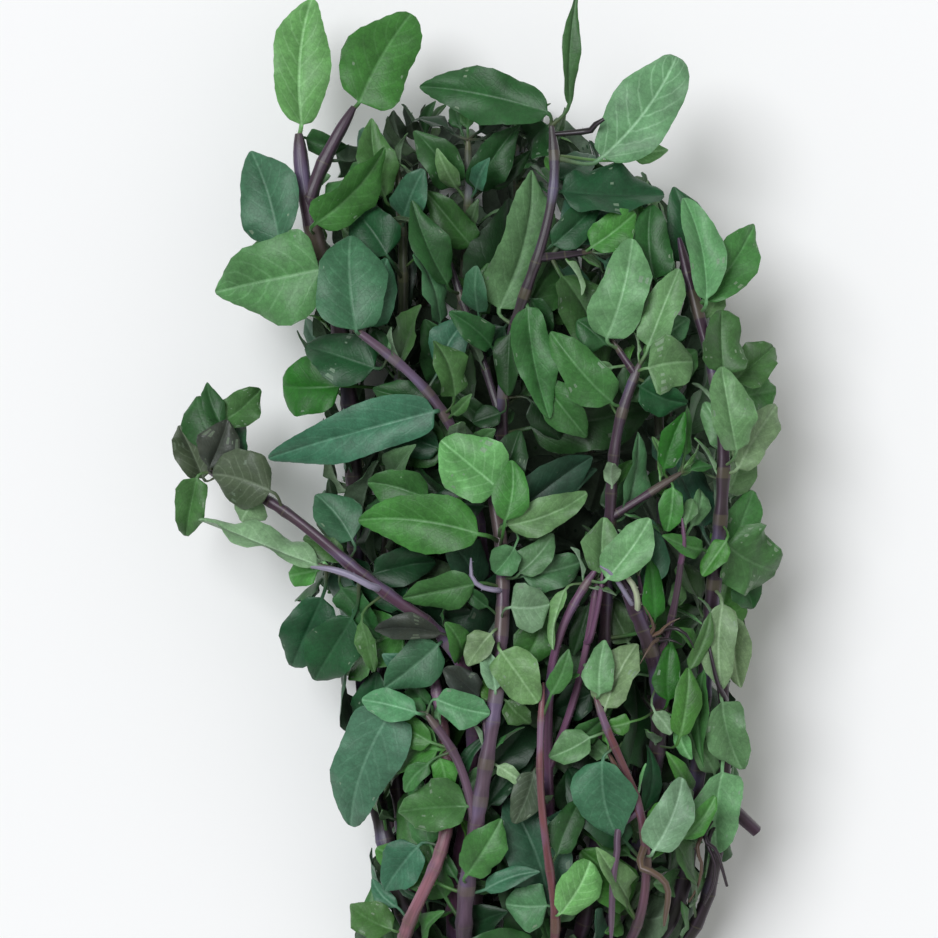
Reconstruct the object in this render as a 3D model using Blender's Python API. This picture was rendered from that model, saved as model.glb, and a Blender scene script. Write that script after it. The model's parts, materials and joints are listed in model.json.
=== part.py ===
"""A cut bunch of purple-stemmed mint, lying on its side with its tips towards +Y.

The bunch lies on the plane z = 0, cut ends towards -Y, and is seen from above in the photograph.
Each leafy stem is one piece: its square stem, its side shoots and all its leaves, grown together.
"""
import math
import random

import bpy
from mathutils import Vector
from mathutils.bvhtree import BVHTree
from mathutils.kdtree import KDTree

# Scale. Plan places below are read in the photograph's 938 px square, looking straight down.
MM = 0.001                # working unit of this file, in metres
MM_PER_PX = 0.32          # a stem 14 px wide is 4.5 mm thick
PHOTO_MIDDLE = 469.0      # px, where the line of sight meets the bunch
SCALE_HEIGHT = 45.0       # mm above the table, where MM_PER_PX holds
EYE_HEIGHT = 1300.0       # mm above the table
BOX_MIDDLE = Vector((2.2, -41.75, 0.0))  # mm, plan middle of the finished bunch

# Stems
BUNDLE_PITCH = 8.0        # mm between stems side by side where the bunch is held
BUNDLE_ROWS = (0.0, 7.8, 15.8)         # mm, underside of each row of stems
BUNDLE_COLUMNS = 7
BUNDLE_X = 12.0           # mm, middle of the bundle
BUNDLE_TOP_Y = -176.0     # mm, the stems start to part here
LEAFY_FROM_Y = -198.0     # mm, the stems are bare below this
CUT_END_Y = -226.0        # mm, mean place of the cut ends
CUT_END_SPREAD = 11.0     # mm, how far the cut ends differ
LOOSENESS = 1.5           # mm, how far a stem may lie off its place in the bundle
SPLAY = 1.1               # mm, how far each column leans out further at its cut end
COURSE_STEP = 4.0         # mm between the points of a stem's course
STEM_CLEARANCE = 1.6      # mm left between two stems
CORNER_REACH = 1.32       # how far a square stem reaches towards its corners
STEM_ROLLS = (17.0, -21.0, 12.0, 23.0, -14.0)   # degrees, how the upper stems are turned
KINK = math.radians(9.0)  # a stem gets a new ring where it has turned this much
RING_REACH = 30.0         # mm, longest stretch between two rings

# Leaves
RIB_THICKNESS = 0.9       # mm through the blade along its midrib
PETIOLE_HALF_WIDTH = 1.0
PETIOLE_HALF_DEPTH = 0.75
LEAF_GAP = 0.45           # mm kept clear round a leaf
LARGE_LEAF = 30.0         # mm, from here a blade has five cross-sections
SMALL_LEAF = 15.0         # mm, below this a blade has three
LARGE_STATIONS = (0.0, 0.14, 0.36, 0.60, 0.84)
MIDDLE_STATIONS = (0.0, 0.22, 0.52, 0.80)
SMALL_STATIONS = (0.0, 0.32, 0.70)
TABLE_GAP = 0.5           # mm between the lowest leaves and the table
FILL_LEAVES = 190         # leaves that close the bunch round the ones seen in the photograph
TRIES = 14                # positions tried for each of them
SHORTEST_STALK = 1.6      # mm of petiole that shows at least
LEAST_FORWARD = 0.35      # a petiole heads at least this much the way of its blade
OTHER_STEM = 5.0          # mm, how much closer another stem has to be for a leaf to grow from it
BOW = 0.06                # how far a blade bends to one side, as a share of its length
TWIST = math.radians(28)  # how far its face turns from base to tip
SKEW = math.radians(11)   # how much more one half folds than the other
UNEVEN = 0.10             # how far its outline swells and narrows, as a share of its width
VARIETY = 0.20            # how much the blades of one look differ in their outline and fold
NOD = 0.13                # how far its tip hangs, as a share of its length
LIFTS = (0, -1.5, 1.5, -3, 3, -4.5, -6, 4.5, -8, 6, -10, -12, -14, 8, -17, -20, -24)
ROLLS = (0, 10, -10, 22, -22)
SEED = 7

# The outline of the bunch: py, left px, right px, height in mm
STATIONS = (
    (92, 392, 556, 34), (130, 348, 588, 46), (170, 314, 648, 55), (230, 302, 690, 62),
    (300, 306, 720, 66), (360, 294, 762, 69), (430, 320, 762, 72), (520, 320, 764, 73),
    (600, 292, 750, 73), (680, 322, 742, 71), (760, 352, 740, 67), (840, 378, 736, 63),
    (900, 356, 722, 58), (960, 354, 690, 52), (1020, 388, 660, 42), (1075, 430, 620, 30),
)
MIDDLE_OF_HEIGHT = 0.40   # where the bunch is widest, as a share of its height
SQUARER_BELOW = 3.4       # power of its rounding below that, where it sags onto the table

# Each stem: name, bundle column and row, half thickness at the cut end and at the tip in mm,
# its course (px, px, mm above the table) and its side shoots with their half thickness.
STEMS = (
    ("stem_top_left", 0, 2, 2.5, 2.3,
     ((404, 940, 34), (384, 820, 27), (364, 690, 20), (356, 560, 19), (354, 450, 22),
      (346, 360, 29), (334, 290, 36), (314, 240, 40), (301, 200, 41), (298, 160, 40),
      (300, 134, 38)),
     (((303, 204, 41), (318, 165, 42), (338, 128, 41), (355, 108, 39)), 2.1)),
    ("stem_upper_left", 2, 1, 2.0, 1.25,
     ((468, 940, 32), (484, 800, 38), (492, 680, 41), (486, 560, 43), (474, 470, 48),
      (462, 440, 52), (446, 404, 55), (424, 379, 57), (396, 357, 58), (368, 340, 57),
      (353, 327, 56)),),
    ("stem_crown", 3, 2, 2.2, 1.35,
     ((512, 940, 36), (508, 800, 42), (505, 680, 44), (500, 560, 45), (498, 450, 48),
      (503, 380, 51), (508, 335, 54), (515, 303, 57), (530, 279, 59), (545, 264, 60),
      (548, 222, 60), (556, 182, 60), (569, 158, 59), (560, 136, 58), (546, 126, 57)),
     (((545, 264, 60), (570, 257, 59), (590, 251, 57)), 1.2),
     (((503, 420, 49), (484, 360, 46), (464, 305, 45), (444, 250, 44), (430, 205, 42)), 1.2)),
    ("stem_middle_right", 4, 2, 2.2, 1.35,
     ((585, 940, 34), (598, 820, 42), (603, 700, 46), (606, 600, 52), (611, 515, 60),
      (611, 445, 62), (617, 402, 63), (630, 376, 63), (643, 366, 62)),
     (((612, 522, 59), (640, 500, 61), (664, 484, 61), (682, 472, 60)), 1.2),
     (((632, 374, 63), (634, 356, 62), (622, 343, 61), (606, 342, 60)), 1.0)),
    ("stem_right", 6, 1, 2.6, 1.4,
     ((672, 940, 28), (692, 820, 36), (703, 720, 42), (706, 640, 48), (713, 600, 52),
      (719, 540, 56), (723, 490, 58), (728, 450, 59), (722, 400, 60), (711, 355, 60),
      (699, 315, 59), (689, 285, 57), (683, 262, 55), (680, 238, 53)),),
    ("stem_left_shoot", 1, 1, 2.4, 1.3,
     ((452, 940, 30), (466, 830, 40), (476, 740, 46), (474, 670, 51), (458, 632, 55),
      (430, 621, 57), (400, 606, 58), (362, 578, 58), (322, 540, 55), (294, 513, 52),
      (268, 495, 50), (244, 484, 46), (222, 478, 43), (208, 470, 41)),
     (((372, 586, 58), (350, 570, 56), (330, 566, 54), (318, 567, 53)), 1.1)),
    ("stem_main", 2, 2, 2.5, 1.5,
     ((460, 945, 42), (467, 880, 54), (476, 820, 59), (484, 775, 61), (490, 745, 62),
      (497, 700, 63), (500, 660, 62), (503, 620, 59), (506, 580, 55), (503, 540, 53),
      (499, 500, 51), (494, 460, 47)),
     (((476, 826, 59), (473, 790, 60), (467, 760, 61), (448, 724, 61), (422, 716, 60)), 1.4),
     (((489, 752, 62), (484, 730, 62), (485, 714, 61)), 1.0)),
    ("stem_slender", 4, 1, 1.6, 0.95,
     ((560, 945, 46), (551, 878, 60), (541, 820, 64), (537, 780, 65), (539, 740, 65),
      (542, 704, 64), (545, 682, 62)),),
    ("stem_pink", 3, 1, 1.8, 1.1,
     ((545, 945, 34), (550, 840, 46), (548, 760, 54), (546, 690, 60), (549, 650, 63),
      (560, 612, 65), (580, 586, 65), (600, 566, 64)),
     (((553, 770, 50), (576, 700, 57), (590, 640, 60), (597, 578, 61)), 1.2)),
    ("stem_curved", 5, 1, 1.7, 1.0,
     ((636, 945, 36), (648, 880, 50), (648, 836, 58), (641, 786, 63), (630, 766, 64),
      (612, 750, 65), (598, 736, 65), (593, 718, 65), (594, 702, 64), (600, 694, 63)),
     (((647, 826, 59), (634, 800, 62), (620, 772, 62), (607, 752, 61)), 1.0)),
    ("stem_dark", 5, 2, 2.7, 2.1,
     ((612, 945, 26), (634, 860, 36), (654, 780, 44), (664, 700, 51), (658, 650, 57),
      (645, 622, 60), (630, 598, 61), (621, 578, 61)),
     (((657, 636, 59), (653, 604, 63), (636, 574, 63)), 1.0),
     (((665, 668, 56), (676, 610, 61), (684, 565, 62), (683, 532, 62)), 1.1)),
    ("stem_low_right", 6, 2, 2.2, 1.4,
     ((694, 945, 24), (716, 860, 34), (726, 790, 41), (726, 720, 47), (720, 660, 52),
      (718, 622, 55)),
     (((724, 800, 40), (740, 817, 38), (757, 831, 36)), 2.2)),
    ("stem_low_left", 0, 1, 2.2, 1.5,
     ((398, 940, 42), (412, 910, 50), (428, 885, 55), (448, 855, 58), (456, 830, 55),
      (452, 780, 52), (442, 720, 50), (432, 665, 48)),),
    ("stem_inner_left", 1, 2, 2.3, 1.3,
     ((432, 945, 22), (402, 840, 24), (384, 720, 25), (384, 600, 26), (392, 480, 28),
      (402, 360, 31), (404, 250, 35), (398, 170, 38)),),
    ("stem_inner_middle", 3, 0, 2.3, 1.3,
     ((520, 945, 9), (505, 840, 17), (468, 700, 22), (452, 560, 24), (452, 430, 28),
      (460, 320, 32), (470, 220, 37), (468, 140, 40)),),
    ("stem_inner_right", 5, 0, 2.3, 1.3,
     ((606, 945, 9), (628, 840, 17), (650, 700, 22), (662, 560, 25), (660, 430, 29),
      (652, 330, 34), (644, 250, 38)),),
    ("stem_under_far_left", 0, 0, 2.5, 1.4,
     ((408, 945, 0), (394, 840, 0), (376, 720, 0), (366, 600, 1), (362, 480, 2),
      (358, 380, 4), (356, 290, 9), (360, 220, 15)),),
    ("stem_under_left", 1, 0, 2.6, 1.5,
     ((446, 945, 0), (436, 820, 0), (424, 690, 0), (424, 560, 0), (414, 430, 0),
      (424, 320, 3), (420, 220, 9), (424, 150, 16)),),
    ("stem_under_middle", 2, 0, 2.6, 1.5,
     ((484, 945, 0), (486, 820, 0), (492, 690, 0), (500, 560, 0), (506, 430, 0),
      (512, 320, 3), (518, 220, 9), (520, 140, 16)),),
    ("stem_under_right", 4, 0, 2.6, 1.5,
     ((560, 945, 0), (570, 820, 0), (584, 690, 0), (580, 560, 0), (590, 430, 0),
      (582, 320, 3), (590, 240, 9), (586, 180, 15)),),
    ("stem_under_far_right", 6, 0, 2.5, 1.4,
     ((640, 945, 0), (656, 840, 0), (668, 720, 0), (672, 600, 1), (664, 480, 2),
      (668, 390, 5), (674, 310, 10), (672, 250, 16)),),
)

# The leaves that the photograph shows: stem, base and tip (px, px, mm above the table), width in
# px, roll about the midrib, droop from base to tip, and the look of the blade.
LEAVES = (
    ("stem_top_left", (301, 129, 38), (312, -3, 31), 60, 4, 12, "bright"),
    ("stem_top_left", (357, 106, 39), (413, 12, 34), 74, 8, 10, "fresh"),
    ("stem_top_left", (281, 244, 46), (250, 150, 36), 68, -8, 14, "blue"),
    ("stem_top_left", (311, 227, 48), (389, 153, 52), 50, 44, 10, "fresh"),
    ("stem_top_left", (302, 137, 36), (346, 147, 38), 28, 20, 10, "deep"),
    ("stem_top_left", (384, 196, 42), (372, 118, 44), 42, 18, 12, "deep"),
    ("stem_upper_left", (330, 268, 54), (214, 292, 42), 92, 6, 20, "broad"),
    ("stem_top_left", (298, 250, 37), (233, 269, 32), 48, 0, 12, "olive"),
    ("stem_upper_left", (356, 330, 58), (350, 234, 48), 74, -14, 22, "blue"),
    ("stem_upper_left", (352, 322, 61), (388, 258, 60), 58, 20, 24, "blue"),
    ("stem_upper_left", (392, 262, 46), (350, 206, 40), 54, 0, 14, "deepblue"),
    ("stem_upper_left", (374, 368, 48), (305, 346, 38), 58, 6, 12, "deepblue"),
    ("stem_inner_left", (340, 386, 37), (280, 386, 31), 62, 0, 14, "vivid"),
    ("stem_upper_left", (437, 411, 57), (262, 458, 42), 54, 4, 10, "blue"),
    ("stem_upper_left", (454, 396, 60), (436, 340, 62), 42, 32, 26, "olive"),
    ("stem_upper_left", (424, 398, 50), (372, 388, 46), 32, 10, 10, "fresh"),
    ("stem_crown", (547, 113, 58), (418, 84, 47), 58, 14, 12, "mid"),
    ("stem_crown", (569, 104, 59), (579, -7, 62), 19, 30, 12, "olive"),
    ("stem_crown", (602, 157, 58), (678, 54, 52), 68, 0, 10, "veined"),
    ("stem_crown", (634, 158, 50), (669, 150, 48), 22, 10, 8, "mid"),
    ("stem_crown", (562, 192, 57), (665, 193, 49), 60, -34, 10, "deepblue"),
    ("stem_crown", (499, 308, 56), (534, 170, 56), 66, 6, 16, "mid"),
    ("stem_crown", (446, 284, 50), (413, 200, 52), 40, 30, 12, "mid"),
    ("stem_inner_middle", (474, 250, 43), (426, 190, 46), 38, 0, 12, "deep"),
    ("stem_crown", (439, 322, 52), (420, 252, 54), 38, 20, 14, "mid"),
    ("stem_crown", (396, 312, 46), (402, 234, 46), 44, -10, 12, "deepblue"),
    ("stem_crown", (526, 300, 57), (550, 418, 61), 44, -10, 10, "mid"),
    ("stem_crown", (544, 384, 60), (586, 438, 60), 42, 8, 14, "mid"),
    ("stem_crown", (529, 296, 55), (553, 338, 53), 30, 0, 10, "deep"),
    ("stem_crown", (588, 250, 60), (636, 212, 60), 40, 24, 20, "yellow"),
    ("stem_crown", (510, 330, 53), (508, 396, 52), 34, 14, 12, "deep"),
    ("stem_crown", (520, 408, 54), (472, 422, 54), 26, 16, 18, "mid"),
    ("stem_crown", (532, 402, 52), (560, 440, 50), 36, 0, 12, "deep"),
    ("stem_middle_right", (611, 402, 64), (553, 330, 66), 48, 16, 20, "light"),
    ("stem_middle_right", (606, 344, 62), (577, 320, 62), 38, 0, 18, "deep"),
    ("stem_middle_right", (607, 338, 64), (630, 238, 66), 54, -12, 22, "light"),
    ("stem_middle_right", (655, 278, 60), (650, 204, 60), 48, 0, 14, "mid"),
    ("stem_middle_right", (649, 346, 64), (678, 268, 64), 40, -26, 14, "light"),
    ("stem_middle_right", (664, 338, 58), (690, 318, 57), 26, 0, 10, "deep"),
    ("stem_middle_right", (648, 368, 66), (694, 362, 64), 60, 8, 16, "light"),
    ("stem_middle_right", (664, 382, 60), (698, 350, 58), 40, 6, 12, "mid"),
    ("stem_middle_right", (640, 386, 61), (688, 404, 58), 38, 4, 14, "deepblue"),
    ("stem_middle_right", (664, 468, 62), (685, 412, 63), 28, 10, 16, "mid"),
    ("stem_middle_right", (673, 486, 61), (666, 532, 61), 26, 12, 12, "fresh"),
    ("stem_middle_right", (625, 514, 57), (640, 432, 57), 36, 12, 12, "deepblue"),
    ("stem_middle_right", (603, 574, 64), (604, 517, 64), 46, 12, 14, "light"),
    ("stem_middle_right", (607, 579, 66), (650, 518, 66), 44, -6, 12, "pale"),
    ("stem_right", (706, 299, 62), (684, 197, 59), 46, 4, 14, "grey"),
    ("stem_right", (688, 262, 53), (674, 186, 52), 44, 0, 12, "deepblue"),
    ("stem_right", (704, 300, 59), (758, 222, 52), 50, 8, 12, "mid"),
    ("stem_right", (706, 318, 55), (721, 286, 52), 24, 0, 8, "olive"),
    ("stem_right", (724, 374, 60), (724, 309, 58), 50, 6, 12, "grey"),
    ("stem_right", (734, 380, 53), (776, 346, 44), 46, 8, 14, "olive"),
    ("stem_right", (738, 398, 50), (777, 390, 42), 40, 0, 10, "deep"),
    ("stem_right", (736, 450, 64), (724, 366, 65), 50, 12, 26, "light"),
    ("stem_right", (732, 448, 62), (704, 402, 62), 34, -20, 24, "light"),
    ("stem_right", (738, 468, 60), (779, 404, 50), 38, 10, 10, "pale"),
    ("stem_right", (729, 560, 53), (754, 490, 46), 42, 10, 12, "mid"),
    ("stem_right", (727, 546, 57), (781, 572, 46), 72, 4, 14, "olive"),
    ("stem_right", (734, 578, 47), (755, 609, 42), 38, 0, 10, "deep"),
    ("stem_right", (726, 541, 61), (702, 576, 61), 24, 14, 14, "fresh"),
    ("stem_left_shoot", (220, 424, 41), (262, 388, 36), 40, 4, 16, "olive"),
    ("stem_left_shoot", (220, 424, 42), (207, 381, 38), 24, 8, 10, "deep"),
    ("stem_left_shoot", (216, 446, 41), (196, 396, 36), 52, 6, 24, "dusk"),
    ("stem_left_shoot", (206, 474, 45), (228, 420, 46), 46, 18, 16, "wilt"),
    ("stem_left_shoot", (203, 478, 41), (178, 424, 35), 46, 6, 26, "olive"),
    ("stem_left_shoot", (230, 476, 40), (242, 412, 36), 54, 0, 14, "deepblue"),
    ("stem_left_shoot", (270, 491, 54), (210, 474, 49), 66, -4, 20, "dusk"),
    ("stem_left_shoot", (262, 492, 48), (241, 522, 42), 40, 4, 12, "dusk"),
    ("stem_left_shoot", (197, 478, 42), (184, 538, 35), 36, 8, 24, "olive"),
    ("stem_left_shoot", (318, 567, 54), (199, 515, 42), 50, 54, 12, "pale"),
    ("stem_left_shoot", (320, 570, 52), (287, 576, 47), 30, 8, 12, "fresh"),
    ("stem_left_shoot", (342, 562, 53), (303, 536, 48), 26, 14, 12, "olive"),
    ("stem_left_shoot", (322, 598, 47), (290, 670, 36), 50, 0, 14, "deepblue"),
    ("stem_left_shoot", (352, 618, 50), (312, 683, 40), 58, 0, 14, "deepblue"),
    ("stem_left_shoot", (342, 588, 51), (378, 640, 50), 34, 10, 10, "deep"),
    ("stem_left_shoot", (362, 622, 53), (372, 674, 50), 24, 20, 10, "olive"),
    ("stem_left_shoot", (352, 540, 47), (315, 494, 42), 48, 4, 14, "blue"),
    ("stem_left_shoot", (374, 574, 51), (436, 562, 51), 40, 0, 10, "deepblue"),
    ("stem_main", (474, 584, 60), (402, 599, 58), 42, -6, 14, "mid"),
    ("stem_left_shoot", (456, 634, 57), (374, 630, 53), 36, 8, 10, "wilt"),
    ("stem_main", (502, 491, 61), (440, 441, 60), 72, -8, 18, "yellow"),
    ("stem_main", (501, 496, 58), (518, 430, 60), 40, -14, 16, "mid"),
    ("stem_main", (505, 520, 58), (513, 460, 58), 38, 10, 12, "fresh"),
    ("stem_main", (508, 522, 56), (594, 458, 54), 62, 4, 12, "deepblue"),
    ("stem_main", (503, 526, 63), (588, 494, 63), 36, 12, 14, "light"),
    ("stem_main", (478, 534, 64), (355, 519, 57), 60, 4, 12, "fresh"),
    ("stem_main", (428, 500, 54), (366, 482, 50), 46, 0, 14, "mid"),
    ("stem_main", (484, 506, 54), (434, 494, 52), 34, 8, 12, "deepblue"),
    ("stem_main", (534, 523, 60), (494, 573, 60), 36, 10, 12, "grey"),
    ("stem_main", (520, 573, 63), (553, 533, 63), 32, 6, 12, "light"),
    ("stem_main", (523, 576, 61), (581, 560, 60), 42, 4, 12, "grey"),
    ("stem_main", (489, 609, 65), (550, 604, 64), 52, 4, 10, "pale"),
    ("stem_main", (545, 614, 60), (524, 665, 60), 48, 6, 12, "mid"),
    ("stem_main", (491, 634, 63), (467, 666, 63), 32, 10, 12, "pale"),
    ("stem_main", (495, 690, 66), (486, 650, 66), 24, 10, 12, "pale"),
    ("stem_main", (501, 652, 64), (538, 703, 64), 46, 4, 12, "light"),
    ("stem_main", (503, 698, 61), (531, 724, 61), 28, 10, 12, "olive"),
    ("stem_main", (438, 645, 57), (384, 688, 53), 48, 4, 14, "blue"),
    ("stem_main", (394, 702, 59), (348, 833, 43), 68, 2, 14, "hanging"),
    ("stem_main", (416, 713, 63), (361, 699, 58), 34, 14, 16, "grey"),
    ("stem_main", (404, 690, 60), (490, 714, 65), 38, 12, 16, "grey"),
    ("stem_main", (478, 698, 58), (444, 668, 58), 36, 8, 14, "wilt"),
    ("stem_main", (440, 758, 57), (446, 798, 55), 26, 12, 12, "fresh"),
    ("stem_main", (428, 764, 58), (404, 792, 55), 22, 12, 12, "fresh"),
    ("stem_main", (470, 806, 60), (397, 812, 54), 58, 4, 14, "olive"),
    ("stem_main", (498, 766, 60), (523, 784, 60), 16, 10, 10, "pale"),
    ("stem_main", (464, 878, 58), (502, 819, 58), 46, 4, 14, "mid"),
    ("stem_pink", (591, 694, 58), (552, 712, 56), 38, 4, 12, "deepblue"),
    ("stem_curved", (590, 738, 61), (548, 757, 60), 36, 8, 12, "mid"),
    ("stem_slender", (534, 772, 60), (514, 824, 58), 34, 10, 12, "pale"),
    ("stem_slender", (560, 913, 55), (592, 862, 54), 50, 4, 14, "bright"),
    ("stem_slender", (572, 906, 53), (505, 904, 50), 48, 0, 14, "blue"),
    ("stem_pink", (566, 590, 62), (552, 650, 62), 22, 24, 10, "light"),
    ("stem_pink", (589, 606, 58), (572, 656, 57), 24, 14, 10, "mid"),
    ("stem_curved", (599, 694, 66), (606, 640, 66), 32, 10, 14, "light"),
    ("stem_curved", (604, 712, 64), (634, 642, 63), 42, -8, 14, "light"),
    ("stem_dark", (630, 722, 62), (606, 727, 62), 20, 8, 10, "fresh"),
    ("stem_curved", (603, 761, 64), (616, 842, 58), 64, 2, 14, "blue"),
    ("stem_curved", (654, 850, 62), (682, 778, 63), 44, -4, 12, "pale"),
    ("stem_curved", (655, 712, 61), (671, 735, 61), 18, 8, 10, "pale"),
    ("stem_dark", (655, 618, 62), (650, 560, 63), 24, 10, 12, "fresh"),
    ("stem_dark", (628, 642, 55), (604, 596, 55), 34, 8, 12, "olive"),
    ("stem_dark", (680, 736, 61), (690, 668, 62), 30, 6, 12, "fresh"),
    ("stem_dark", (690, 668, 61), (711, 612, 62), 18, 20, 10, "light"),
    ("stem_dark", (668, 700, 57), (673, 642, 58), 28, 12, 12, "mid"),
    ("stem_dark", (679, 726, 64), (690, 761, 63), 18, 8, 10, "bright"),
    ("stem_low_right", (722, 604, 58), (722, 690, 56), 38, 6, 12, "grey"),
    ("stem_low_right", (736, 618, 48), (741, 690, 44), 34, 4, 14, "mid"),
    ("stem_low_right", (722, 702, 54), (743, 771, 48), 46, 6, 14, "mid"),
    ("stem_low_right", (722, 772, 56), (718, 856, 47), 54, 2, 14, "mid"),
    ("stem_low_right", (704, 672, 59), (700, 768, 57), 26, 30, 10, "mid"),
    ("stem_low_right", (683, 838, 58), (716, 796, 58), 22, 14, 10, "fresh"),
    ("stem_low_left", (418, 846, 52), (384, 892, 45), 46, 2, 14, "blue"),
    ("stem_low_left", (392, 930, 44), (349, 904, 38), 42, 6, 12, "olive"),
)

# How each look shapes its blade: where it is widest, how full its outline is, how far its halves
# fold up in degrees, how deep its edge waves as a share of its width, and how pointed its tip is.
SHAPES = {
    "bright": (0.92, 0.38, 8, 0.045, 0.20), "fresh": (0.76, 0.47, 10, 0.06, 0.30),
    "light": (0.74, 0.52, 16, 0.11, 0.26), "yellow": (0.80, 0.46, 12, 0.08, 0.10),
    "veined": (0.90, 0.44, 6, 0.045, 0.10), "vivid": (1.0, 0.42, 6, 0.04, 0.05),
    "mid": (0.74, 0.52, 15, 0.10, 0.34), "deep": (0.72, 0.52, 13, 0.10, 0.34),
    "blue": (0.70, 0.50, 9, 0.06, 0.40), "deepblue": (0.74, 0.50, 12, 0.08, 0.34),
    "grey": (0.80, 0.48, 20, 0.13, 0.20), "pale": (0.78, 0.48, 15, 0.11, 0.24),
    "olive": (0.74, 0.52, 15, 0.13, 0.28), "dusk": (0.92, 0.46, -14, 0.08, 0.20),
    "wilt": (0.86, 0.54, 28, 0.20, 0.25), "broad": (0.58, 0.48, 8, 0.055, 0.46),
    "hanging": (0.52, 0.42, 8, 0.05, 0.44),
}
FILL_LOOKS = ("deep", "deepblue", "mid", "mid", "deepblue", "deep", "fresh", "blue", "olive")

LEAF_GREEN = (0.075, 0.21, 0.075, 1.0)
DEEP_GREEN = (0.045, 0.14, 0.06, 1.0)
DEEP_STEMS = ("stem_inner", "stem_under", "stem_low")   # their leaves are the shaded ones
LEAF_ROUGHNESS = 0.55


def spot(px, py, height):
    """The point in mm that shows at a place of the photograph, at a height above the table."""
    scale = MM_PER_PX * (EYE_HEIGHT - height) / (EYE_HEIGHT - SCALE_HEIGHT)
    return Vector(((px - PHOTO_MIDDLE) * scale, (PHOTO_MIDDLE - py) * scale, height))


def blend(low, high, share):
    return low + (high - low) * share


def outline_at(y):
    """Left edge, right edge and height of the bunch in mm, across its length at y."""
    py = PHOTO_MIDDLE - y / MM_PER_PX
    if py < STATIONS[0][0] or py > STATIONS[-1][0]:
        return None
    for low, high in zip(STATIONS, STATIONS[1:]):
        if py <= high[0]:
            share = (py - low[0]) / (high[0] - low[0])
            left = (blend(low[1], high[1], share) - PHOTO_MIDDLE) * MM_PER_PX
            right = (blend(low[2], high[2], share) - PHOTO_MIDDLE) * MM_PER_PX
            return left, right, blend(low[3], high[3], share)
    return None


def reach_at(point):
    """How far out a point is, from 0 on the bunch's axis to 1 on its surface, and which way."""
    found = outline_at(point.y)
    if found is None:
        return 9.0, Vector((0.0, 1.0, 0.0))
    left, right, height = found
    half = (right - left) / 2
    axis_z = MIDDLE_OF_HEIGHT * height
    across = (point.x - (left + right) / 2) / half
    rise = point.z - axis_z
    tall, power = (height - axis_z, 2.4) if rise > 0 else (axis_z * 1.2, SQUARER_BELOW)
    up = rise / tall
    reach = (abs(across) ** power + abs(up) ** power) ** (1 / power)
    outward = Vector((across / half, 0.0, up / tall))
    if outward.length < 1e-9:
        outward = Vector((0.0, 0.0, 1.0))
    return reach, outward.normalized()


def spline_point(before, start, end, after, share):
    """A point between start and end on the smooth curve through four points."""
    square, cube = share * share, share ** 3
    return 0.5 * (2 * start + (end - before) * share
                  + (2 * before - 5 * start + 4 * end - after) * square
                  + (3 * start - before - 3 * end + after) * cube)


def even_course(route, step):
    """Points a step apart along the smooth curve through a route."""
    ends = [2 * route[0] - route[1]] + list(route) + [2 * route[-1] - route[-2]]
    dense = [route[0].copy()]
    for i in range(len(route) - 1):
        for k in range(1, 13):
            dense.append(spline_point(*ends[i:i + 4], k / 12))
    lengths = [0.0]
    for before, after in zip(dense, dense[1:]):
        lengths.append(lengths[-1] + (after - before).length)
    count = max(3, round(lengths[-1] / step))
    course, j = [], 0
    for i in range(count + 1):
        wanted = lengths[-1] * i / count
        while j < len(dense) - 2 and lengths[j + 1] < wanted:
            j += 1
        share = (wanted - lengths[j]) / max(lengths[j + 1] - lengths[j], 1e-9)
        course.append(dense[j].lerp(dense[j + 1], min(1.0, share)))
    return course


class Stem:
    """A square stem or side shoot: its course, its half thickness along it, how far it is turned
    about itself, and its parent."""

    def __init__(self, name, course, halves, roll, parent=None):
        self.name = name
        self.course = course
        self.halves = halves
        self.roll = math.radians(roll)
        self.parent = parent
        self.leafy_from = 1
        self.joined_at = 0
        self.rings = []

    def settle(self):
        """Chooses the points that get a ring, and lays the others straight between them."""
        headings = [frame[0] for frame in self.frames()]
        last = len(self.course) - 1
        self.rings = [0]
        for i in range(1, last):
            turned = headings[i].angle(headings[self.rings[-1]], 0.0)
            gone = (self.course[i] - self.course[self.rings[-1]]).length
            if turned > KINK or gone > RING_REACH:
                self.rings.append(i)
        self.rings.append(last)
        for start, end in zip(self.rings, self.rings[1:]):
            for i in range(start + 1, end):
                share = (i - start) / (end - start)
                self.course[i] = self.course[start].lerp(self.course[end], share)
                self.halves[i] = blend(self.halves[start], self.halves[end], share)

    def frames(self):
        """Heading and the two directions square to the stem's sides, at each point."""
        found = []
        for i in range(len(self.course)):
            along = self.course[min(i + 1, len(self.course) - 1)] - self.course[max(i - 1, 0)]
            along.normalize()
            level = along.cross(Vector((0.0, 0.0, 1.0))).normalized()
            above = level.cross(along)
            side = level * math.cos(self.roll) + above * math.sin(self.roll)
            found.append((along, side, side.cross(along)))
        return found


def bundle_route(rng, column, row, half):
    """The cut end of a stem and the place where it leaves the bundle."""
    off_middle = column - (BUNDLE_COLUMNS - 1) / 2
    end_y = CUT_END_Y + rng.uniform(-CUT_END_SPREAD, CUT_END_SPREAD)
    drift = [rng.uniform(-LOOSENESS, LOOSENESS) for _ in range(2)]
    x = BUNDLE_X + off_middle * BUNDLE_PITCH
    z = BUNDLE_ROWS[row] + half
    rise = rng.uniform(0.0, LOOSENESS) if row else 0.0
    return (Vector((x + off_middle * SPLAY + drift[0], end_y, z + rise)),
            Vector((x + drift[1], BUNDLE_TOP_Y, z)))


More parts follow.
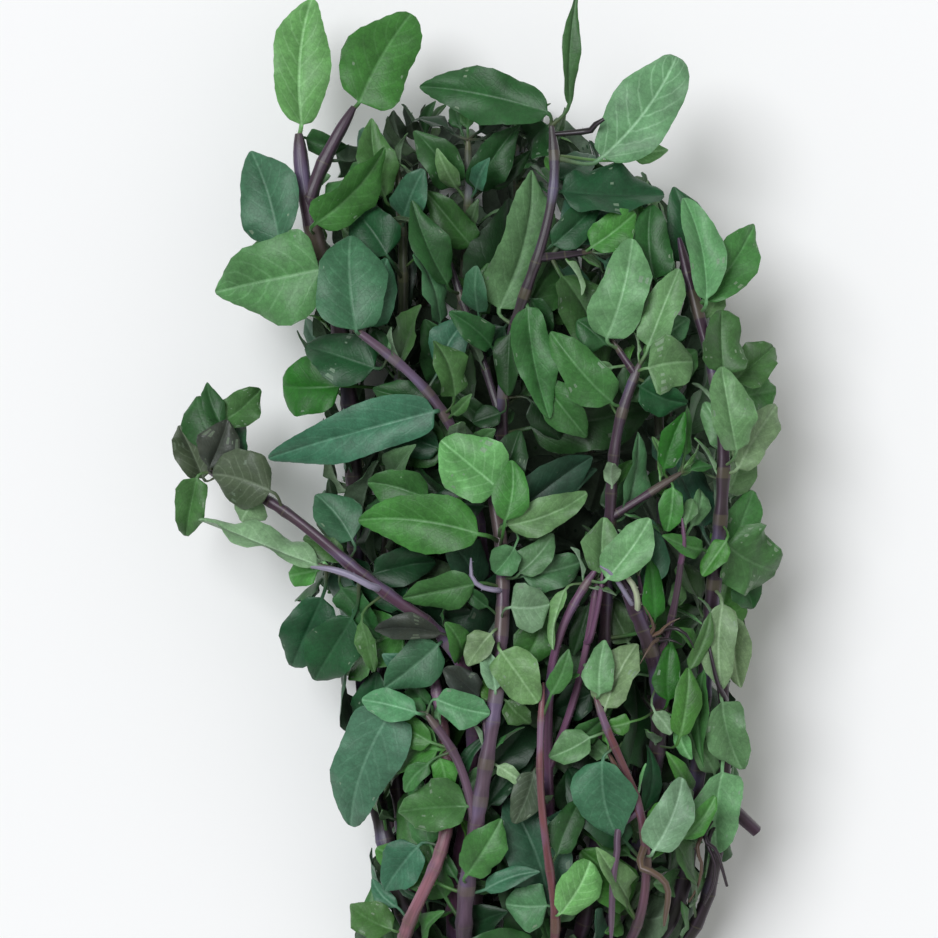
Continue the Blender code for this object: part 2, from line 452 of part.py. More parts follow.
def make_stems():
    """Every stem, followed by its side shoots, with the courses bent clear of one another."""
    rng = random.Random(SEED)
    stems = []
    for number, (name, column, row, thick, thin, route, *shoots) in enumerate(STEMS):
        end, top = bundle_route(rng, column, row, thick)
        route = [end, end.lerp(top, 0.5), top] + [spot(*place) for place in route]
        course = even_course(route, COURSE_STEP)
        for point in course:
            if point.y < BUNDLE_TOP_Y:
                straight = end.lerp(top, (point.y - end.y) / (top.y - end.y))
                point.x, point.z = straight.x, straight.z
        last = len(course) - 1
        halves = [blend(thick, thin, max(0.0, (i / last - 0.2) / 0.8)) for i in range(last + 1)]
        roll = STEM_ROLLS[number % len(STEM_ROLLS)] if row else 0.0
        stem = Stem(name, course, halves, roll)
        stem.leafy_from = sum(1 for point in course if point.y < LEAFY_FROM_Y)
        stems.append(stem)
        for route, half in shoots:
            course = even_course([spot(*place) for place in route], COURSE_STEP)
            start = course[0]
            last = len(course) - 1
            halves = [half * blend(1.0, 0.8, i / last) for i in range(last + 1)]
            shoot = Stem(name, course, halves, roll, stem)
            shoot.joined_at = min(range(len(stem.course)),
                                  key=lambda i: (stem.course[i] - start).length)
            stems.append(shoot)
    for _ in range(90):
        part_stems(stems)
    for stem in stems:
        stem.settle()
    for stem in stems:
        if stem.parent:
            stem.course[0] = stem.parent.course[stem.joined_at].copy()
    return stems


def part_stems(stems):
    """Pushes stems that come too close a little apart, and keeps them smooth and off the table."""
    places = [(s, i) for s, stem in enumerate(stems) for i in range(len(stem.course))]
    tree = KDTree(len(places))
    for number, (s, i) in enumerate(places):
        tree.insert(stems[s].course[i], number)
    tree.balance()
    pushes = {}
    for s, i in places:
        here, half = stems[s].course[i], stems[s].halves[i]
        for _, number, _ in tree.find_range(here, 9.0):
            other, j = places[number]
            if stems[other].name == stems[s].name:
                continue
            away = here - stems[other].course[j]
            wanted = (half + stems[other].halves[j]) * CORNER_REACH + STEM_CLEARANCE
            if 1e-6 < away.length < wanted:
                push = away.normalized() * (wanted - away.length) * 0.3
                pushes[(s, i)] = pushes.get((s, i), Vector()) + push
    for (s, i), push in pushes.items():
        stems[s].course[i] += push
    for stem in stems:
        course = stem.course
        for i in range(1, len(course) - 1):
            middle = (course[i - 1] + course[i + 1]) / 2
            course[i] = course[i].lerp(middle, 0.16)
        course[-1] = course[-1].lerp(2 * course[-2] - course[-3], 0.12)
        for i, point in enumerate(course):
            point.z = max(point.z, stem.halves[i])
        if stem.parent:
            course[0] = stem.parent.course[stem.joined_at].copy()


def stem_mesh(stem):
    """Corners and faces of the square stem, closed at its cut end and at its tip."""
    frames = stem.frames()
    corners, faces = [], []
    for i in stem.rings:
        _, side, up = frames[i]
        middle, half = stem.course[i], stem.halves[i]
        for a, b in ((-1, -1), (1, -1), (1, 1), (-1, 1)):
            corners.append(middle + side * half * a + up * half * b)
    for r in range(len(stem.rings) - 1):
        for k in range(4):
            a, b = r * 4 + k, r * 4 + (k + 1) % 4
            faces += [(a, b + 4, b), (a, a + 4, b + 4)]
    last = (len(stem.rings) - 1) * 4
    faces += [(0, 2, 3), (0, 1, 2), (last, last + 2, last + 1), (last, last + 3, last + 2)]
    return corners, faces


class Leaf:
    """A leaf: a petiole from the stem's heart to the blade's base, and an arched, folded blade."""

    def __init__(self, stem, root, stem_half, base, tip, up, width, droop, look, phase):
        self.stem = stem
        self.root = root
        self.stem_half = stem_half
        self.heart = root - (base - root).normalized() * stem_half * 0.55
        self.base = base
        self.chord = (tip - base).length
        self.ahead = (tip - base) / self.chord
        self.up = (up - self.ahead * up.dot(self.ahead)).normalized()
        self.side = self.ahead.cross(self.up)
        self.half = width / 2
        self.droop = math.radians(max(droop, 1.0))
        self.look = look
        self.phase = phase
        peak, fullness, fold, wave, self.point = SHAPES[look]
        self.peak = peak * (1.0 + VARIETY * 0.5 * math.sin(phase * 8.0))
        self.fullness = fullness * (1.0 + VARIETY * math.sin(phase * 9.0 + 1.0))
        self.fold = math.radians(fold * (1.0 + 3.0 * VARIETY * math.sin(phase * 2.0 + 4.0)))
        self.wave = wave * width
        self.pace = 10.0 + 3.0 * math.sin(phase * 6.0)
        self.bow = BOW * self.chord * math.sin(phase * 3.0)
        self.twist = TWIST * math.sin(phase * 5.0 + 1.0)
        self.skew = SKEW * math.sin(phase * 7.0 + 2.0)
        self.nod = NOD * self.chord * (0.2 + 0.8 * math.sin(phase * 4.0) ** 2)
        self.tip = tip - self.up * self.nod

    def stations(self):
        if self.chord >= LARGE_LEAF:
            return LARGE_STATIONS
        return MIDDLE_STATIONS if self.chord >= SMALL_LEAF else SMALL_STATIONS

    def rib(self, share):
        """Middle of the blade and the ways across it and out of its face, at a share of it."""
        turn = self.droop * (share - 0.5)
        radius = self.chord / (2 * math.sin(self.droop / 2))
        along = radius * (math.sin(turn) + math.sin(self.droop / 2))
        above = radius * (math.cos(turn) - math.cos(self.droop / 2))
        middle = (self.base + self.ahead * along + self.up * (above - self.nod * share ** 3)
                  + self.side * self.bow * 4.0 * share * (1.0 - share))
        face = self.ahead * math.sin(turn) + self.up * math.cos(turn)
        lean = self.twist * (share - 0.35)
        return (middle, self.side * math.cos(lean) + face * math.sin(lean),
                face * math.cos(lean) - self.side * math.sin(lean))

    def half_width(self, share, sign):
        swell = math.sin(math.pi * share ** self.peak) ** self.fullness
        near_tip = max(0.0, (share - 0.5) / 0.5)
        uneven = 1.0 + UNEVEN * math.sin(share * 8.0 + 2.0 * self.phase + 1.3 * sign)
        return max(PETIOLE_HALF_WIDTH,
                   self.half * swell * (1.0 - self.point * near_tip ** 2) * uneven)

    def edge(self, share, sign):
        """The edge on one side: out by the half width, up by its fold and by its wave."""
        middle, side, face = self.rib(share)
        wide = self.half_width(share, sign)
        fold = self.fold + sign * self.skew
        ripple = math.sin(share * self.pace + self.phase + 1.7 * sign)
        lift = wide * math.sin(fold) + self.wave * ripple * min(1.0, wide / self.half)
        return middle + side * sign * wide * math.cos(fold) + face * lift

    def rings(self, stations, grow=0.0):
        """Left edge, top, right edge and underside of the blade at shares of its length."""
        found = []
        for share in stations:
            middle, side, face = self.rib(share)
            half_depth = PETIOLE_HALF_DEPTH if share == 0.0 else RIB_THICKNESS / 2
            lift, out = face * (half_depth + grow), side * grow
            found.append((self.edge(share, -1) - out, middle + lift,
                          self.edge(share, 1) + out, middle - lift))
        return found

    def mesh(self):
        """Corners and faces of the whole leaf, its blade cut alike on both faces."""
        return skin(self.rings(self.stations()), self.heart, self.tip)

    def space(self):
        """The room that a leaf needs to itself, from where it leaves its own stem."""
        stalk = (self.base - self.heart).normalized()
        start = self.root + stalk * (self.stem_half + 0.3)
        rings = self.rings(self.stations(), LEAF_GAP)
        return skin(rings, start, self.tip + self.ahead * LEAF_GAP)

    def blade_space(self):
        """The same room without the petiole, which may leave its own stem at a slant."""
        rings = self.rings(self.stations()[1:], LEAF_GAP)
        return skin(rings, None, self.tip + self.ahead * LEAF_GAP)


def skin(rings, start, end):
    """A closed skin over rings of left edge, top, right edge and underside, drawn to a point at
    its end, and at its start where one is given."""
    corners = [corner for ring in rings for corner in ring] + [end]
    tip = len(corners) - 1
    faces = []
    for r in range(len(rings) - 1):
        left, top, right, under = (r * 4 + k for k in range(4))
        faces += [(left, top + 4, left + 4), (left, top, top + 4),
                  (right, top + 4, top), (right, right + 4, top + 4),
                  (left, left + 4, under + 4), (left, under + 4, under),
                  (right, under, under + 4), (right, under + 4, right + 4)]
    left, top, right, under = ((len(rings) - 1) * 4 + k for k in range(4))
    faces += [(left, top, tip), (top, right, tip), (right, under, tip), (under, left, tip)]
    if start is None:
        return corners, faces + [(0, 2, 1), (0, 3, 2)]
    corners.append(start)
    return corners, faces + [(1, 0, tip + 1), (2, 1, tip + 1), (3, 2, tip + 1), (0, 3, tip + 1)]


class Room:
    """What is already placed, so that a new leaf can be kept clear of it."""

    def __init__(self):
        self.taken = []

    def add(self, mesh, stem_name=None):
        corners, faces = mesh
        low = [min(corner[k] for corner in corners) for k in range(3)]
        high = [max(corner[k] for corner in corners) for k in range(3)]
        self.taken.append((low, high, BVHTree.FromPolygons(corners, faces), stem_name))

    def is_free(self, leaf):
        corners, faces = leaf.space()
        low = [min(corner[k] for corner in corners) for k in range(3)]
        high = [max(corner[k] for corner in corners) for k in range(3)]
        if low[2] < TABLE_GAP:
            return False
        tree = None
        for other_low, other_high, other, stem_name in self.taken:
            if any(low[k] > other_high[k] or high[k] < other_low[k] for k in range(3)):
                continue
            if stem_name == leaf.stem.name:
                if BVHTree.FromPolygons(*leaf.blade_space()).overlap(other):
                    return False
                continue
            tree = tree or BVHTree.FromPolygons(corners, faces)
            if tree.overlap(other):
                return False
        return True


class Roots:
    """The places on the leafy stems that a leaf can grow from."""

    def __init__(self, stems):
        self.places = []
        for stem in stems:
            for i in range(stem.leafy_from, len(stem.course) - 1):
                start, step = stem.course[i], stem.course[i + 1] - stem.course[i]
                self.places += [(stem, start + step * (k / 4), stem.halves[i]) for k in range(4)]
        self.tree = KDTree(len(self.places))
        for number, (_, point, _) in enumerate(self.places):
            self.tree.insert(point, number)
        self.tree.balance()

    def nearest(self, name, base, tip):
        """The stem and the point in its heart for a leaf with this base, of its own stem where
        no other is much closer."""
        ahead = (tip - base).normalized()
        best = None
        for _, number, distance in self.tree.find_n(base, 400):
            stem, point, half = self.places[number]
            forward = (base - point).normalized().dot(ahead)
            cost = distance + 10.0 * max(0.0, 0.6 - forward)
            if stem.name != name:
                cost += OTHER_STEM
            if best is None or cost < best[0]:
                best = (cost, stem, point, half)
        return best[1:]


def seen_leaf(roots, leaf_row, lift, extra_roll, phase):
    """One leaf of the photograph, at its own height or lifted, its base just off its stem."""
    name, base, tip, width, roll, droop, look = leaf_row
    start = spot(base[0], base[1], base[2] + lift)
    end = spot(tip[0], tip[1], tip[2] + lift)
    stem, root, half = roots.nearest(name, start, end)
    ahead = (end - start).normalized()
    while ((start - root).length < half + SHORTEST_STALK
           or (start - root).normalized().dot(ahead) < LEAST_FORWARD):
        start = start + ahead * 0.5
    turn = math.radians(roll + extra_roll)
    upright = Vector((0.0, 0.0, 1.0))
    flat = (upright - ahead * upright.dot(ahead)).normalized()
    up = flat * math.cos(turn) + ahead.cross(flat) * math.sin(turn)
    return Leaf(stem, root, half, start, end, up, width * MM_PER_PX, droop, look, phase)


def seen_leaves(stems, room):
    """The leaves of the photograph, each moved up or down to the first height that is free."""
    rng = random.Random(SEED + 1)
    roots = Roots(stems)
    leaves, missed = [], []
    for row in LEAVES:
        phase = rng.uniform(0.0, math.tau)
        options = (seen_leaf(roots, row, lift, roll, phase) for lift in LIFTS for roll in ROLLS)
        leaf = next((option for option in options if room.is_free(option)), None)
        if leaf is None:
            missed.append(row)
            continue
        leaves.append(leaf)
        room.add(leaf.mesh())
    return leaves, missed


class SeenLeaves:
    """The leaves that the photograph shows, which other growth must not hide from above."""

    def __init__(self, leaves):
        corners, faces = [], []
        for leaf in leaves:
            mesh = leaf.mesh()
            faces += [tuple(i + len(corners) for i in face) for face in mesh[1]]
            corners += mesh[0]
        self.tree = BVHTree.FromPolygons(corners, faces)

    def hidden_by(self, leaf):
        eye = Vector((0.0, 0.0, EYE_HEIGHT))
        points = [leaf.rib(share)[0] for share in (0.1, 0.35, 0.6, 0.85, 1.0)]
        points += [leaf.edge(share, sign) for share in (0.3, 0.6, 0.85) for sign in (-1, 1)]
        return any(self.tree.ray_cast(point, (point - eye).normalized())[0] for point in points)


class Cover:
    """Counts how well each patch of the bunch's surface is covered by leaves."""

    ROWS = 7.5            # mm of the bunch's length in one patch
    SECTORS = 24          # patches round the bunch

    def __init__(self):
        self.counts = {}

    def patch(self, point):
        found = outline_at(point.y)
        if found is None:
            return None
        left, right, height = found
        angle = math.atan2((point.z - MIDDLE_OF_HEIGHT * height) * 1.6, point.x - (left + right) / 2)
        return math.floor(point.y / self.ROWS), math.floor(angle / math.tau * self.SECTORS)

    def points(self, leaf):
        for share in (0.15, 0.4, 0.65, 0.88):
            middle, _, _ = leaf.rib(share)
            yield middle
            yield middle.lerp(leaf.edge(share, -1), 0.7)
            yield middle.lerp(leaf.edge(share, 1), 0.7)

    def gain(self, leaf):
        """What the leaf would add, or None where it leaves the bunch."""
        total = 0.0
        for point in self.points(leaf):
            reach, outward = reach_at(point)
            if reach > 1.02:
                return None
            facing = 0.35 + 0.65 * abs(leaf.up.dot(outward))
            depth = max(0.0, (reach - 0.35) / 0.65)
            total += facing * depth / (1.0 + self.counts.get(self.patch(point), 0.0)) ** 1.5
        return total * leaf.chord * leaf.half / 120.0

    def add(self, leaf):
        for point in self.points(leaf):
            reach, _ = reach_at(point)
            if reach > 0.6:
                key = self.patch(point)
                self.counts[key] = self.counts.get(key, 0.0) + leaf.chord * leaf.half / 350.0


def leaf_places(stems, rng):
    """Where leaves can grow: opposite pairs at the nodes, each pair square to the last."""
    places = []
    for stem in stems:
        frames = stem.frames()
        last = len(stem.course) - 1
        turn = rng.uniform(0.0, 0.6)
        i = stem.leafy_from
        pair = 0
        while i <= last:
            along, side, up = frames[i]
            for half_turn in (0.0, math.pi):
                angle = turn + pair * math.pi / 2 + half_turn
                outward = side * math.cos(angle) + up * math.sin(angle)
                places.append((stem, i, along, outward))
            pair += 1
            i += 3
    rng.shuffle(places)
    return places


def grown_leaf(rng, stem, i, along, outward):
    """One way in which a leaf could grow from a place on a stem."""
    root, half, share = stem.course[i], stem.halves[i], i / (len(stem.course) - 1)
    swing = math.radians(rng.uniform(-50, 50))
    outward = outward * math.cos(swing) + along.cross(outward) * math.sin(swing)
    rise = math.radians(rng.uniform(2, 62) if share < 0.93 else rng.uniform(35, 85))
    ahead = outward * math.cos(rise) + along * math.sin(rise)
    length = rng.uniform(24, 42) * (1.0 if share < 0.85 else 0.62)
    stalk = rng.uniform(3.5, 9.0)
    base = root + ahead * (half + stalk)
    bow = rng.uniform(-22, 22)
    tip = base + (ahead * math.cos(math.radians(bow))
                  + along.cross(ahead) * math.sin(math.radians(bow))).normalized() * length
    _, surface = reach_at((base + tip) / 2)
    lean = Vector((rng.uniform(-0.55, 0.55), rng.uniform(-0.1, 0.7), rng.uniform(-0.3, 0.6)))
    up = surface + lean
    width = length * rng.uniform(0.5, 0.66)
    look = rng.choice(FILL_LOOKS)
    droop, phase = rng.uniform(8, 34), rng.uniform(0.0, math.tau)
    return Leaf(stem, root, half, base, tip, up, width, droop, look, phase)


def filling_leaves(stems, room, seen, cover, wanted):
    """Leaves that cover the rest of the bunch, the barest patches first."""
    rng = random.Random(SEED + 9)
    places = leaf_places(stems, rng)
    leaves, used = [], set()
    for least in (4.2, 3.0, 2.0, 1.2, 0.6, 0.25):
        for number, place in enumerate(places):
            if len(leaves) >= wanted:
                return leaves
            if number in used:
                continue
            options = []
            for _ in range(TRIES):
                leaf = grown_leaf(rng, *place)
                gain = cover.gain(leaf)
                if gain is not None and gain > least and not seen.hidden_by(leaf):
                    options.append((gain, len(options), leaf))
            for _, _, leaf in sorted(options, reverse=True)[:6]:
                if room.is_free(leaf):
                    leaves.append(leaf)
                    used.add(number)
                    room.add(leaf.mesh())
                    cover.add(leaf)
                    break
    return leaves


def layout():
    """All stems and leaves of the bunch, in mm."""
    stems = make_stems()
    room = Room()
    for stem in stems:
        room.add(stem_mesh(stem), stem.name)
    leaves, missed = seen_leaves(stems, room)
    cover = Cover()
    for leaf in leaves:
        cover.add(leaf)
    leaves += filling_leaves(stems, room, SeenLeaves(leaves), cover, FILL_LEAVES)
    return stems, leaves, missed


def new_object(name, mesh_data, collection):
    corners, faces = mesh_data
    mesh = bpy.data.meshes.new(name)
    mesh.from_pydata([(corner - BOX_MIDDLE) * MM for corner in corners], [], faces)
    mesh.update()
    obj = bpy.data.objects.new(name, mesh)
    collection.objects.link(obj)
    return obj


def join_stem(name, stem_parts, leaves):
    """One solid from a stem, its shoots and its leaves, by a union on a collection."""
    extras = bpy.data.collections.new(name + "_leaves")
    bpy.context.scene.collection.children.link(extras)
    obj = new_object(name, stem_mesh(stem_parts[0]), bpy.context.scene.collection)
    for number, shoot in enumerate(stem_parts[1:]):
        new_object(f"{name}_shoot_{number}", stem_mesh(shoot), extras)
    for number, leaf in enumerate(leaves):
        new_object(f"{name}_leaf_{number}", leaf.mesh(), extras)
    union = obj.modifiers.new("grown together", "BOOLEAN")
    union.operation = "UNION"
    union.operand_type = "COLLECTION"
    union.collection = extras
    union.solver = "MANIFOLD"
    bpy.context.view_layer.update()
    evaluated = obj.evaluated_get(bpy.context.evaluated_depsgraph_get())
    joined = bpy.data.meshes.new_from_object(evaluated)
    obj.modifiers.clear()
    obj.data = joined
    for part in list(extras.objects):
        bpy.data.objects.remove(part)
    bpy.data.collections.remove(extras)
    return obj


def leaf_material(name):
    material = bpy.data.materials.new(name + "_green")
    material.use_nodes = True
    shader = material.node_tree.nodes["Principled BSDF"]
    green = DEEP_GREEN if name.startswith(DEEP_STEMS) else LEAF_GREEN
    shader.inputs["Base Color"].default_value = green
    shader.inputs["Roughness"].default_value = LEAF_ROUGHNESS
    shader.inputs["Metallic"].default_value = 0.0
    return material


def main():
    for obj in list(bpy.data.objects):
        bpy.data.objects.remove(obj)
    stems, leaves, _ = layout()
    for name, *_ in STEMS:
        parts = [stem for stem in stems if stem.name == name]
        own = [leaf for leaf in leaves if leaf.stem.name == name]
        obj = join_stem(name, parts, own)
        obj.data.materials.clear()
        obj.data.materials.append(leaf_material(name))


main()
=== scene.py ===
"""The looks of a cut bunch of purple-stemmed mint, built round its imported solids.

Each leafy stem of the solids gets a fine stalk and fine leaves that keep its form. Small growth
that the solids leave out closes the bunch, and a pale table, soft light and a camera complete it.
"""
import json
import math
import random
from functools import cache

import bpy
import numpy as np
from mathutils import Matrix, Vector
from mathutils.bvhtree import BVHTree
from mathutils.kdtree import KDTree

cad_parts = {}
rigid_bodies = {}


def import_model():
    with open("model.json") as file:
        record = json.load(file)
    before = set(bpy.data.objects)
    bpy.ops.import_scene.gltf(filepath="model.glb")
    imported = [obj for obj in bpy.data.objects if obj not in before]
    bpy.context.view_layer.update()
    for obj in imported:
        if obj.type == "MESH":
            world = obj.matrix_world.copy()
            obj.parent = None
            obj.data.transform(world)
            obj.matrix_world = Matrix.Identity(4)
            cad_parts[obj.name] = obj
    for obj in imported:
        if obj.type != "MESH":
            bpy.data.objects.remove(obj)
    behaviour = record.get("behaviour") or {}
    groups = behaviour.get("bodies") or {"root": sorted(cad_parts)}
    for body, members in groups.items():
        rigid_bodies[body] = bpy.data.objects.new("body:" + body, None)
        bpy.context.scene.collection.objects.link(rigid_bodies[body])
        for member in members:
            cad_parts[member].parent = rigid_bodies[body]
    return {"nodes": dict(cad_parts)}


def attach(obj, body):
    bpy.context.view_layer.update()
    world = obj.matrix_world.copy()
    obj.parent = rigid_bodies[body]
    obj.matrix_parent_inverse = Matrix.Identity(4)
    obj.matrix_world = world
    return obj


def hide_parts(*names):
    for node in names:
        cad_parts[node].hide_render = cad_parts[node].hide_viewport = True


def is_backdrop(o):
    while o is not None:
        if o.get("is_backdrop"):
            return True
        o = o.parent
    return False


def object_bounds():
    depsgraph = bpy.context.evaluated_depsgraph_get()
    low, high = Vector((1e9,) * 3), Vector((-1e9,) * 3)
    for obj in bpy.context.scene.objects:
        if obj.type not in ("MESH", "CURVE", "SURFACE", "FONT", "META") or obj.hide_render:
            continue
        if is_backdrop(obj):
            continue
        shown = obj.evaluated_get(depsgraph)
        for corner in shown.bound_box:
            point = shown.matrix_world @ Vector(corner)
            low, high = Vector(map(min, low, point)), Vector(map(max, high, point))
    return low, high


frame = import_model()
SOLID_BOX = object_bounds()

bl_info = {
    "name": "Mint bunch",
    "version": (1, 0, 0),
    "blender": (4, 5, 0),
    "location": "3D View > Sidebar > Mint",
    "description": "Leaves, stalks and stage for a cut bunch of purple-stemmed mint",
    "category": "Object",
}

# Scale. Plan places below are read in the photograph's 938 px square, looking straight down.
MM = 0.001                # working unit of this file, in metres
MM_PER_PX = 0.32          # a stem 14 px wide is 4.5 mm thick
PHOTO_MIDDLE = 469.0      # px, where the line of sight meets the bunch
SCALE_HEIGHT = 45.0       # mm above the table, where MM_PER_PX holds
EYE_HEIGHT = 1300.0       # mm above the table
BOX_MIDDLE = Vector((2.2, -41.75, 0.0))  # mm, plan middle of the finished bunch

# Stems
BUNDLE_PITCH = 8.0        # mm between stems side by side where the bunch is held
BUNDLE_ROWS = (0.0, 7.8, 15.8)         # mm, underside of each row of stems
BUNDLE_COLUMNS = 7
BUNDLE_X = 12.0           # mm, middle of the bundle
BUNDLE_TOP_Y = -176.0     # mm, the stems start to part here
LEAFY_FROM_Y = -198.0     # mm, the stems are bare below this
CUT_END_Y = -226.0        # mm, mean place of the cut ends
CUT_END_SPREAD = 11.0     # mm, how far the cut ends differ
LOOSENESS = 1.5           # mm, how far a stem may lie off its place in the bundle
SPLAY = 1.1               # mm, how far each column leans out further at its cut end
TAPER_FROM = 0.2          # share of a stem's length from where it gets thinner
SHOOT_TAPER = 0.8         # how thick a side shoot's tip is, against its start
COURSE_STEP = 4.0         # mm between the points of a stem's course
STEM_CLEARANCE = 1.6      # mm left between two stems
CORNER_REACH = 1.32       # how far a square stem reaches towards its corners
STEM_ROLLS = (17.0, -21.0, 12.0, 23.0, -14.0)   # degrees, how the upper stems are turned
PARTING_ROUNDS = 90       # how often stems that are too close are pushed apart
PARTING_REACH = 9.0       # mm round a point of a stem in which others are looked for
PARTING_PUSH = 0.3        # how much of the missing clearance one push gives
SMOOTHING = 0.16          # how far a point then moves towards the middle of its neighbours
TIP_SMOOTHING = 0.12      # how far a tip moves into line with the points before it
KINK = math.radians(9.0)  # a stem gets a new ring where it has turned this much
RING_REACH = 30.0         # mm, longest stretch between two rings

# Leaves
RIB_THICKNESS = 0.9       # mm through the blade along its midrib
PETIOLE_HALF_WIDTH = 1.0
PETIOLE_HALF_DEPTH = 0.75
LEAF_GAP = 0.45           # mm kept clear round a leaf
LARGE_LEAF = 30.0         # mm, from here a blade has five cross-sections
SMALL_LEAF = 15.0         # mm, below this a blade has three
LARGE_STATIONS = (0.0, 0.14, 0.36, 0.60, 0.84)
MIDDLE_STATIONS = (0.0, 0.22, 0.52, 0.80)
SMALL_STATIONS = (0.0, 0.32, 0.70)
TABLE_GAP = 0.5           # mm between the lowest leaves and the table
FILL_LEAVES = 190         # leaves that close the bunch round the ones seen in the photograph
TRIES = 14                # positions tried for each of them
FILL_TESTED = 6           # the best of these that are tested for room
FILL_LEAST = (4.2, 3.0, 2.0, 1.2, 0.6, 0.25)    # what one has to cover in each round
SHORTEST_STALK = 1.6      # mm of petiole that shows at least
LEAST_FORWARD = 0.35      # a petiole heads at least this much the way of its blade
OTHER_STEM = 5.0          # mm, how much closer another stem has to be for a leaf to grow from it
ROOTS_COMPARED = 400      # closest places on stems that are compared for a leaf
WELL_FORWARD = 0.6        # a petiole that heads this much the way of its blade is as good as any
SLANT_COST = 10.0         # mm, how much further away a place may be whose petiole heads straighter
HEART_DEPTH = 0.55        # how deep in its stem a petiole starts, against half the stem's thickness
STEP_OFF = 0.5            # mm by which a blade's base moves off a stem that is too close
BOW = 0.06                # how far a blade bends to one side, as a share of its length
TWIST = math.radians(28)  # how far its face turns from base to tip
SKEW = math.radians(11)   # how much more one half folds than the other
UNEVEN = 0.10             # how far its outline swells and narrows, as a share of its width
VARIETY = 0.20            # how much the blades of one look differ in their outline and fold
NOD = 0.13                # how far its tip hangs, as a share of its length
LIFTS = (0, -1.5, 1.5, -3, 3, -4.5, -6, 4.5, -8, 6, -10, -12, -14, 8, -17, -20, -24)
ROLLS = (0, 10, -10, 22, -22)
SEED = 7

# The outline of the bunch: py, left px, right px, height in mm
STATIONS = (
    (92, 392, 556, 34), (130, 348, 588, 46), (170, 314, 648, 55), (230, 302, 690, 62),
    (300, 306, 720, 66), (360, 294, 762, 69), (430, 320, 762, 72), (520, 320, 764, 73),
    (600, 292, 750, 73), (680, 322, 742, 71), (760, 352, 740, 67), (840, 378, 736, 63),
    (900, 356, 722, 58), (960, 354, 690, 52), (1020, 388, 660, 42), (1075, 430, 620, 30),
)
MIDDLE_OF_HEIGHT = 0.40   # where the bunch is widest, as a share of its height
ROUNDER_ABOVE = 2.4       # power of its rounding above that
SQUARER_BELOW = 3.4       # and below it, where the bunch sags onto the table

